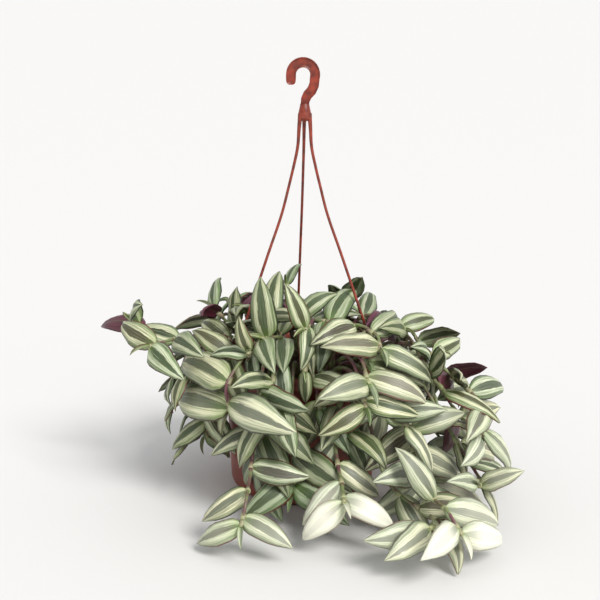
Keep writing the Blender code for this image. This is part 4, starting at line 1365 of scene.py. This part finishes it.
@dataclass
class LeafyStem:
    """One leafy stem of the plant: its jointed stem, its sheaths and its leaves."""

    stem: Stem
    growth: Growth
    sheets: dict
    sheath: Sheath
    blade_faces: tuple
    skin: Material
    radius: float = 1.9 * MM
    tip_share: float = 0.66
    swell: float = 0.16
    swell_reach: float = 4 * MM
    fine_step: float = 6 * MM
    fit: float = 0.6 * MM  # between a leaf's key points and the solid's corners
    paleness: tuple = (1.0, 1.0, 0.55, 0.2)  # painted glare on a glare stem's leaves, counted back from the tip
    ageing: float = 0.08  # how much duller each leaf is than the one nearer the tip
    freshness: float = 0.25  # the youth of the grown leaf nearest the tip

    @property
    def node(self) -> str:
        """The name of the solid that this stem stands for."""
        return f"stem_{self.stem.name}"

    def leaves(self, route: list[Vector], bends: list[tuple]) -> list[tuple[int, Leaf]]:
        """The leaves that the stem's solid has, each in the bend in which it was set.

        Args:
            route: the stem's fine route.
            bends: the bends that a leaf may take.

        Returns:
            Each leaf with its number; a leaf that the solid doesn't have is left out.
        """
        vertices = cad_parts[self.node].data.vertices
        tree = KDTree(len(vertices))
        for index, vert in enumerate(vertices):
            tree.insert(vert.co, index)
        tree.balance()
        made = []
        for number, place in enumerate(self.growth.places(self.stem, route)):
            bent = (self.growth.grown_leaf(self.stem, route, number, place, bend) for bend in bends)
            made.append((number, self.first_fit(bent, tree)))
        bent = (self.growth.young_leaf(self.stem, route, bend) for bend in bends)
        made.append((0, self.first_fit(bent, tree)))
        return [(number, leaf) for number, leaf in made if leaf is not None]

    def first_fit(self, leaves: Iterable[Leaf], tree: KDTree) -> Leaf | None:
        """The first of several leaves that the solid has.

        Args:
            leaves: the same leaf in one bend after another.
            tree: the corners of the solid.

        Returns:
            The leaf whose key points all lie on corners of the solid, or None.
        """
        for leaf in leaves:
            if all(tree.find(point)[2] < self.fit for point in leaf.key_points()):
                return leaf
        return None

    def look(self, number: int, leaf: Leaf) -> tuple[float, float, float]:
        """A leaf's tone, its painted light (painted glare above 0, painted shade with age dulling below 0)
        and its youth.

        Args:
            number: the leaf's number, counted back from the tip.
            leaf: the leaf.

        Returns:
            The three values, for the leaf's finish.
        """
        tone = leaf.draw.uniform(0.0, 1.0)
        # Painted glare on stems in the strongest light, else painted shade with age dulling.
        fade = self.paleness[min(number, len(self.paleness) - 1)]
        pale = GLARE_STEMS.get(self.stem.name, 0.0) * fade * leaf.draw.uniform(0.75, 1.0)
        if pale == 0.0:
            shade_and_age = min(1.0, SHADED_STEMS.get(self.stem.name, 0.0) + self.ageing * max(0, number - 1))
            pale = -shade_and_age * leaf.draw.uniform(0.6, 1.0)
        if leaf.age is Age.YOUNG:
            return (tone, pale, leaf.draw.uniform(0.6, 1.0))
        return (tone, pale, self.freshness * max(0.0, 1 - number / 3))

    def stalk(self, foot: Vector, line: list[Vector], joints: list[float]) -> Object:
        """The stem itself, a smooth tapered bar that swells at its joints.

        Args:
            foot: the stem's sunk foot.
            line: the stem's corners.
            joints: the joints' distances from the tip.

        Returns:
            The stem's object.
        """
        fine = [foot, *smooth_route(line, self.fine_step)]
        last = len(fine) - 1
        tip_distance = [self.fine_step * (last - index) for index in range(last + 1)]
        radii = []
        for index, distance in enumerate(tip_distance):
            near = min((abs(distance - joint) for joint in joints), default=1.0)
            swell = 1.0 + self.swell * math.exp(-((near / self.swell_reach) ** 2))
            radii.append(self.radius * (1 - (1 - self.tip_share) * index / last) * swell)
        return bar("stalk", fine, radii)

    def build(self, bends: list[tuple]) -> Object:
        """Build the stem, dress it and let it stand for its solid.

        Args:
            bends: the bends that a leaf may take.

        Returns:
            The finished piece.
        """
        foot, line = self.growth.line(self.stem)
        route = resample(line, self.growth.route_step)
        leaves = self.leaves(route, bends)
        joints = self.growth.places(self.stem, route)
        parts = [self.stalk(foot, line, joints)]
        parts[0].data.shade_smooth()
        parts += [self.sheath.copy_at(*along(route, place)) for place in joints]
        for part in parts:
            dress(part, self.skin)
        for number, leaf in leaves:
            blade = self.sheets[leaf.age].copy_for(leaf, self.look(number, leaf))
            turned = number in TURNED_LEAVES.get(self.stem.name, ()) and leaf.age is Age.GROWN
            dress(blade, *(self.blade_faces[::-1] if turned else self.blade_faces))
            parts.append(blade)
        piece = joined(f"leafy_{self.node}", parts)
        hand_in(piece, Slot.FOLIAGE, self.node)
        LOG.info("%s has %d leaves", self.node, len(leaves))
        return piece


# ---------------------------------------------------------------- pot, soil and hanger


def polar(radius: float, azimuth_deg: float, height: float = 0.0) -> Vector:
    """A point from its distance to the axis, its azimuth and its height."""
    angle = math.radians(azimuth_deg)
    return Vector((radius * math.cos(angle), radius * math.sin(angle), height))


def about(point: Vector, change: Matrix) -> Matrix:
    """A turn or a scaling that keeps a point in its place."""
    return Matrix.Translation(point) @ change @ Matrix.Translation(-point)


def cut(body: Object, centre: Vector, radius: float, depth: float, sides: int = 24) -> None:
    """Cut an upright round hole in a body.

    Args:
        body: the object to pierce.
        centre: the middle of the cut.
        radius: its radius in metres.
        depth: its depth in metres.
        sides: how many sides it has.
    """
    deselect_all()
    bpy.ops.mesh.primitive_cylinder_add(vertices=sides, radius=radius, depth=depth, location=centre)
    drill = added("drill")
    modifier = body.modifiers.new("Hole", "BOOLEAN")
    modifier.operation = "DIFFERENCE"
    modifier.object = drill
    apply_modifier(body, modifier)
    bpy.data.objects.remove(drill)


@dataclass
class Pot:
    """The round pot: drafted wall, rounded heel, flanged rim with a soft lip, and drain holes."""

    height: float = 120 * MM
    rim_radius: float = 75 * MM
    lip_depth: float = 9 * MM
    lip_thickness: float = 1.4 * MM
    flange_thickness: float = 1.8 * MM
    wall_top_radius: float = 68.5 * MM
    wall_thickness: float = 1.6 * MM
    foot_radius: float = 55 * MM
    sole_radius: float = 48 * MM
    floor_thickness: float = 2.2 * MM
    heel_radius: float = 10 * MM
    drain_ring: float = 34 * MM
    drain_radius: float = 4 * MM
    drain_holes: int = 5
    drain_cut: float = 9 * MM
    leg_ring: float = 71.2 * MM
    leg_hole: float = 1.9 * MM
    leg_cut: float = 7 * MM
    edge_radius: float = 1.2 * MM
    leg_azimuths: tuple = (-26.5, 93.5, 213.5)
    sides: int = 96

    def wall(self, height: float, inset: float = 0.0) -> float:
        """The radius of the outer wall at a height, less an inset.

        Args:
            height: the height in metres.
            inset: how far inside the outer wall, in metres.

        Returns:
            The wall's radius there, in metres.
        """
        share = (height - self.heel_radius) / (self.height - self.heel_radius)
        heel = self.foot_radius + 0.9 * self.heel_radius
        return heel + (self.wall_top_radius - heel) * share - inset

    def heel(self, inset: float, floor: float, steps: int = 8) -> list[tuple[float, float]]:
        """The rounded heel between the wall and the floor, from the floor up.

        Args:
            inset: how far inside the outer wall, in metres.
            floor: the height where the curve starts, in metres.
            steps: how many steps the curve has.

        Returns:
            Radius and height of each point.
        """
        radius = self.heel_radius - inset * 0.6
        edge = self.wall(self.heel_radius, inset)
        made = []
        for step in range(steps + 1):
            angle = math.radians(90 * (1 - step / steps))
            made.append((edge - radius * (1 - math.cos(angle)), floor + radius * (1 - math.sin(angle))))
        return made

    def profile(self) -> list[tuple[float, float]]:
        """The wall's outline, from the foot over the rim to the inner floor.

        Returns:
            Radius and height of each point of the pot's section.
        """
        top = self.height
        under = top - self.flange_thickness
        lip = self.rim_radius
        inner = self.wall_top_radius - self.wall_thickness
        made = [(self.sole_radius, 0.0), *self.heel(0.0, 0.0)[1:]]
        made += [(self.wall(height * MM), height * MM) for height in range(20, 118, 14)]
        made += [(self.wall(under - 1.2 * MM), under - 1.2 * MM), (self.wall(under) + 0.8 * MM, under)]
        made += [(lip - self.lip_thickness - 0.5 * MM, under), (lip - self.lip_thickness, under - 0.6 * MM),
                 (lip - self.lip_thickness, top - self.lip_depth + 0.3 * MM),
                 (lip - 0.7 * self.lip_thickness, top - self.lip_depth),
                 (lip - 0.3 * MM, top - self.lip_depth), (lip, top - self.lip_depth + 0.5 * MM)]
        for degrees in (0, 30, 60, 90):
            angle = math.radians(degrees)
            made.append((lip - self.edge_radius * (1 - math.cos(angle)),
                         top - self.edge_radius * (1 - math.sin(angle))))
        made += [(inner + 1.0 * MM, top), (inner + 0.3 * MM, top - 0.3 * MM), (inner, top - 1.0 * MM)]
        made += [(self.wall(height * MM, self.wall_thickness), height * MM)
                 for height in range(104, 12, -23)]
        return made + self.heel(self.wall_thickness, self.floor_thickness)[-2::-1]

    def build(self, finish: Material) -> Object:
        """Turn the pot, pierce it and dress it.

        Args:
            finish: the material to dress it in.

        Returns:
            The finished piece.
        """
        pot = lathe("pot_shell", self.profile(), self.sides)
        for number in range(self.drain_holes):
            centre = polar(self.drain_ring, 360 * number / self.drain_holes, self.floor_thickness / 2)
            cut(pot, centre, self.drain_radius, self.drain_cut)
        for azimuth in self.leg_azimuths:
            cut(pot, polar(self.leg_ring, azimuth, self.height), self.leg_hole, self.leg_cut)
        dress(pot, finish)
        smooth(pot, 35)
        hand_in(pot, Slot.PLASTIC, "pot")
        return pot


@dataclass
class Compost:
    """The soil in the pot: a lumpy, crumbly top over a plain root ball."""

    growth: Growth
    pot: Pot
    gap: float = 0.3 * MM
    waist: float = 60 * MM  # the height of the ring halfway up its side
    rings: int = 34
    sides: int = 150
    crumb: float = 0.9 * MM
    clod_size: float = 3.1 * MM
    crumb_size: float = 1.4 * MM

    def build(self, finish: Material) -> Object:
        """Raise the soil from its underside, then lift its top into lumps and crumbs.

        Args:
            finish: the soil's material.

        Returns:
            The finished piece.
        """
        wall = self.pot.wall_thickness
        floor = self.pot.floor_thickness
        profile = [(radius - self.gap, height + self.gap) for radius, height in self.pot.heel(wall, floor)]
        top_radius = self.pot.wall(self.growth.soil_edge, wall + self.gap)
        waist = (self.pot.wall(self.waist, wall + self.gap), self.waist)
        profile += [waist, (top_radius, self.growth.soil_edge)]
        for ring in range(self.rings - 1, 0, -1):
            profile.append((top_radius * ring / self.rings, self.growth.soil_edge))
        soil = lathe("compost", profile, self.sides)
        for vert in soil.data.vertices:
            if abs(vert.co.z - self.growth.soil_edge) < 0.02 * MM:
                vert.co.z = self.top(vert.co.x, vert.co.y)
        dress(soil, finish)
        smooth(soil, 60)
        hand_in(soil, Slot.SOIL, "soil")
        return soil

    def top(self, x: float, y: float) -> float:
        """The height of the soil's top with its crumbs."""
        clods = noise.noise(Vector((x, y, 0.0)) / self.clod_size)
        crumbs = noise.noise(Vector((x, y, 1.0)) / self.crumb_size)
        return self.growth.soil_height(x, y) + self.crumb * (clods + 0.6 * crumbs)


@dataclass
class Hanger:
    """The moulded hanger: a hook with a sunk web, a flared neck, three bowed legs and their clips."""

    pot: Pot
    leg_radius: float = 1.2 * MM
    leg_profile: tuple = ((4.4, 334), (5.6, 322), (6.8, 306), (10.6, 290), (15.4, 273), (23, 248),
                          (36.5, 215), (52, 176), (64.5, 144), (70.4, 130), (71.2, 124), (71.2, 116))
    leg_step: float = 5 * MM
    leg_flare: float = 0.75
    leg_bevel: int = 4
    lean: float = 2.2 * MM
    clip_gap: float = 0.3 * MM
    clip_profile: tuple = ((0.78, -3.2), (1.3, -2.7), (2.1, -0.4), (1.89, 0))
    neck_base: float = 329 * MM
    neck_profile: tuple = ((3.19, -1.5), (4.988, 0), (5.8, 1.6), (5.626, 4), (4.75, 8), (3.7, 13),
                           (2.59, 13.8))
    shank: tuple = ((0, 336, 0, 0.75), (0, 341, 8, 0.84), (0.5, 345.2, 22, 0.92), (2.3, 349.2, 38, 0.97),
                    (5.8, 353, 38, 1.0), (7.9, 357.8, 22, 1.0))  # mm, mm, degrees and width
    hook_centre: tuple = (-1.4 * MM, 366.4 * MM)
    hook_radius: float = 10.2 * MM
    bar_width: float = 8.4 * MM
    bar_depth: float = 5.6 * MM
    arc: tuple = (-15, 180)  # degrees
    arc_steps: int = 16
    tip_length: float = 8.4 * MM
    tip_taper: tuple = ((0.35, 1.0), (0.72, 0.94), (0.9, 0.74), (1.0, 0.4))
    web_from: float = 8 * MM
    web_margin: float = 1.5 * MM
    web_depth: float = 1.5 * MM
    edge_radius: float = 0.6 * MM
    edge_angle: float = 40.0

    def leg_line(self, azimuth: float) -> list[Vector]:
        """One leg's line, from the neck down to its clip, smoothed; its top leans with the hook.

        Args:
            azimuth: the leg's direction in degrees.

        Returns:
            The leg's line.
        """
        top = self.leg_profile[0][1] * MM
        corners = []
        for radius, height in self.leg_profile:
            share = max(0.0, (height * MM - self.pot.height) / (top - self.pot.height))
            corners.append(polar(radius * MM, azimuth, height * MM) + Vector((self.lean * share, 0.0, 0.0)))
        return smooth_route(corners, self.leg_step)

    def legs(self) -> list[Object]:
        """The three legs with their clips under the rim.

        Returns:
            The objects of the legs and clips.
        """
        top = self.pot.height - self.pot.flange_thickness - self.clip_gap
        profile = [(radius * MM, top + height * MM) for radius, height in self.clip_profile]
        made = []
        for azimuth in self.pot.leg_azimuths:
            line = self.leg_line(azimuth)
            radii = [self.leg_radius * (1.0 + self.leg_flare * math.exp(-index / 3.0))
                     for index in range(len(line))]
            clip = lathe("clip", profile, 16)
            clip.data.transform(Matrix.Translation(polar(self.pot.leg_ring, azimuth)))
            made += [bar("leg", line, radii, self.leg_bevel), clip]
        return made

    def hook_stations(self) -> list[tuple[Vector, float, float]]:
        """Points of the hook's line with the section's turn and width at each.

        Returns:
            The point, the turn in radians and the width share of each station.
        """
        first, last = (math.radians(angle) for angle in self.arc)
        centre = Vector((self.lean + self.hook_centre[0], 0.0, self.hook_centre[1]))
        made = []
        for x, z, turn, width in self.shank:
            made.append((Vector((self.lean + x * MM, 0.0, z * MM)), math.radians(turn), width))
        for step in range(self.arc_steps + 1):
            angle = first + (last - first) * step / self.arc_steps
            point = centre + self.hook_radius * Vector((math.cos(angle), 0.0, math.sin(angle)))
            made.append((point, -angle, 1.0))
        end = made[-1][0]
        for share, width in self.tip_taper:
            made.append((end - UP * self.tip_length * share, -last, width))
        return made

    def hook(self) -> Object:
        """The hook: a square section drawn round its line, with a web sunk in both faces.

        Returns:
            The hook's object.
        """
        stations = self.hook_stations()
        deselect_all()
        bpy.ops.mesh.primitive_plane_add(size=1.0, location=stations[0][0])
        hook = added("hook")
        hook.scale = (self.bar_width * stations[0][2], self.bar_depth, 1.0)
        apply_place(hook)
        with editing(hook):
            turned = 0.0
            for (before, _, old), (point, turn, width) in zip(stations, stations[1:]):
                bpy.ops.mesh.extrude_region_move(TRANSFORM_OT_translate={"value": point - before})
                bpy.ops.object.mode_set(mode="OBJECT")
                spin = about(point, Matrix.Rotation(turn - turned, 4, "Y"))
                place = about(point, Matrix.Scale(width / old, 4, self.across(turn))) @ spin
                for vert in hook.data.vertices:
                    if vert.select:
                        vert.co = place @ vert.co
                bpy.ops.object.mode_set(mode="EDIT")
                turned = turn
        outward(hook)
        self.sink_web(hook)
        soften = hook.modifiers.new("Bevel", "BEVEL")
        soften.width = self.edge_radius
        soften.segments = 2
        soften.limit_method = "ANGLE"
        soften.angle_limit = math.radians(self.edge_angle)
        apply_modifier(hook, soften)
        return hook

    def sink_web(self, hook: Object) -> None:
        """Sink a web in both faces of the hook's bar.

        Args:
            hook: the plain bar.
        """
        with editing(hook, "FACE", "DESELECT"):
            bpy.ops.object.mode_set(mode="OBJECT")
            for face in hook.data.polygons:
                face.select = abs(face.normal.y) > 0.9 and face.center.z > self.neck_base + self.web_from
            bpy.ops.object.mode_set(mode="EDIT")
            bpy.ops.mesh.inset(thickness=self.web_margin, depth=-self.web_depth, use_even_offset=True)

    @staticmethod
    def across(turn: float) -> Vector:
        """The direction of the section's width at a turn."""
        return Vector((math.cos(turn), 0.0, -math.sin(turn)))

    def neck(self) -> Object:
        """The neck: a flared boss that the legs grow out of.

        Returns:
            The neck's object.
        """
        profile = [(radius * MM, self.neck_base + height * MM) for radius, height in self.neck_profile]
        neck = lathe("neck", profile, 36)
        neck.data.transform(Matrix.Translation((self.lean, 0.0, 0.0)))
        return neck

    def build(self, finish: Material) -> Object:
        """Build the hanger as one moulding and dress it.

        Args:
            finish: the material to dress it in.

        Returns:
            The finished piece.
        """
        piece = joined("hanger_moulding", [self.hook(), self.neck(), *self.legs()])
        dress(piece, finish)
        outward(piece)
        smooth(piece, 45)
        hand_in(piece, Slot.PLASTIC, "hanger")
        return piece


# ---------------------------------------------------------------- stage


@dataclass
class Stage:
    """The pale floor, the soft light and the camera."""

    target: Vector = field(default_factory=lambda: Vector((-0.0018, 0.0, 0.170)))
    distance: float = 1.15
    elevation: float = 15.0
    lens: float = 78.4
    sensor: float = 36.0
    floor_size: float = 40.0
    light_place: Vector = field(default_factory=lambda: Vector((0.9, -1.3, 1.5)))
    light_spread: float = 24.0
    light_strength: float = 2.85
    light_colour: tuple = (1.0, 0.985, 0.965)
    surround_colour: tuple = (0.93, 0.94, 0.96, 1.0)
    surround_strength: float = 0.76

    def floor(self) -> Object:
        """A wide round floor that reaches past the view on every side.

        Returns:
            The floor's object.
        """
        deselect_all()
        bpy.ops.mesh.primitive_circle_add(vertices=96, radius=self.floor_size / 2, fill_type="NGON",
                                          location=(0.0, 0.0, 0.0))
        floor = added("floor")
        floor.data.materials.append(TableFinish().material())
        return floor

    def key(self) -> None:
        """One wide, soft light from the upper right, in front of the plant."""
        data = bpy.data.lights.new("key", "SUN")
        data.angle = math.radians(self.light_spread)
        data.energy = self.light_strength
        data.color = self.light_colour
        lamp = linked("key", data)
        lamp.location = self.light_place
        lamp.rotation_euler = (-self.light_place).to_track_quat("-Z", "Y").to_euler()

    def camera(self) -> None:
        """The camera in front of the plant, a little above it."""
        data = bpy.data.cameras.new("camera")
        data.lens = self.lens
        data.sensor_width = self.sensor
        view = linked("camera", data)
        angle = math.radians(self.elevation)
        view.location = self.target + self.distance * Vector((0.0, -math.cos(angle), math.sin(angle)))
        view.rotation_euler = (self.target - view.location).to_track_quat("-Z", "Y").to_euler()
        bpy.context.scene.camera = view

    def world(self) -> None:
        """A pale, even surround."""
        world = bpy.data.worlds.new("studio")
        world.use_nodes = True
        shade = world.node_tree.nodes["Background"]
        shade.inputs["Color"].default_value = self.surround_colour
        shade.inputs["Strength"].default_value = self.surround_strength
        bpy.context.scene.world = world
        bpy.context.scene.view_settings.view_transform = "Standard"

    def build(self) -> None:
        """Set the floor, the surround, the light and the camera."""
        self.floor()
        self.world()
        self.key()
        self.camera()


def main() -> None:
    """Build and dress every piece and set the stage."""
    logging.basicConfig(level=logging.INFO, format="%(name)s: %(message)s")
    deselect_all()
    growth = Growth()
    bends = growth.bends()
    pot = Pot()
    pot.build(MouldedPlastic().material())
    Compost(growth, pot).build(SoilFinish().material())
    hanger_finish = MouldedPlastic("hanger_plastic", rgb(150, 56, 34), rgb(92, 32, 20), mottle_scale=150.0)
    Hanger(pot).build(hanger_finish.material())
    sheets = {age: LeafSheet(age) for age in Age}
    for sheet in sheets.values():
        sheet.model()
    sheath = Sheath()
    sheath.model()
    blade_faces = (LeafFace().material(), LeafBack().material())
    skin = StemSkin().material()
    for stem in STEMS:
        LeafyStem(stem, growth, sheets, sheath, blade_faces, skin).build(bends)
    Stage().build()
    deselect_all()


if __name__ == "__main__":
    main()
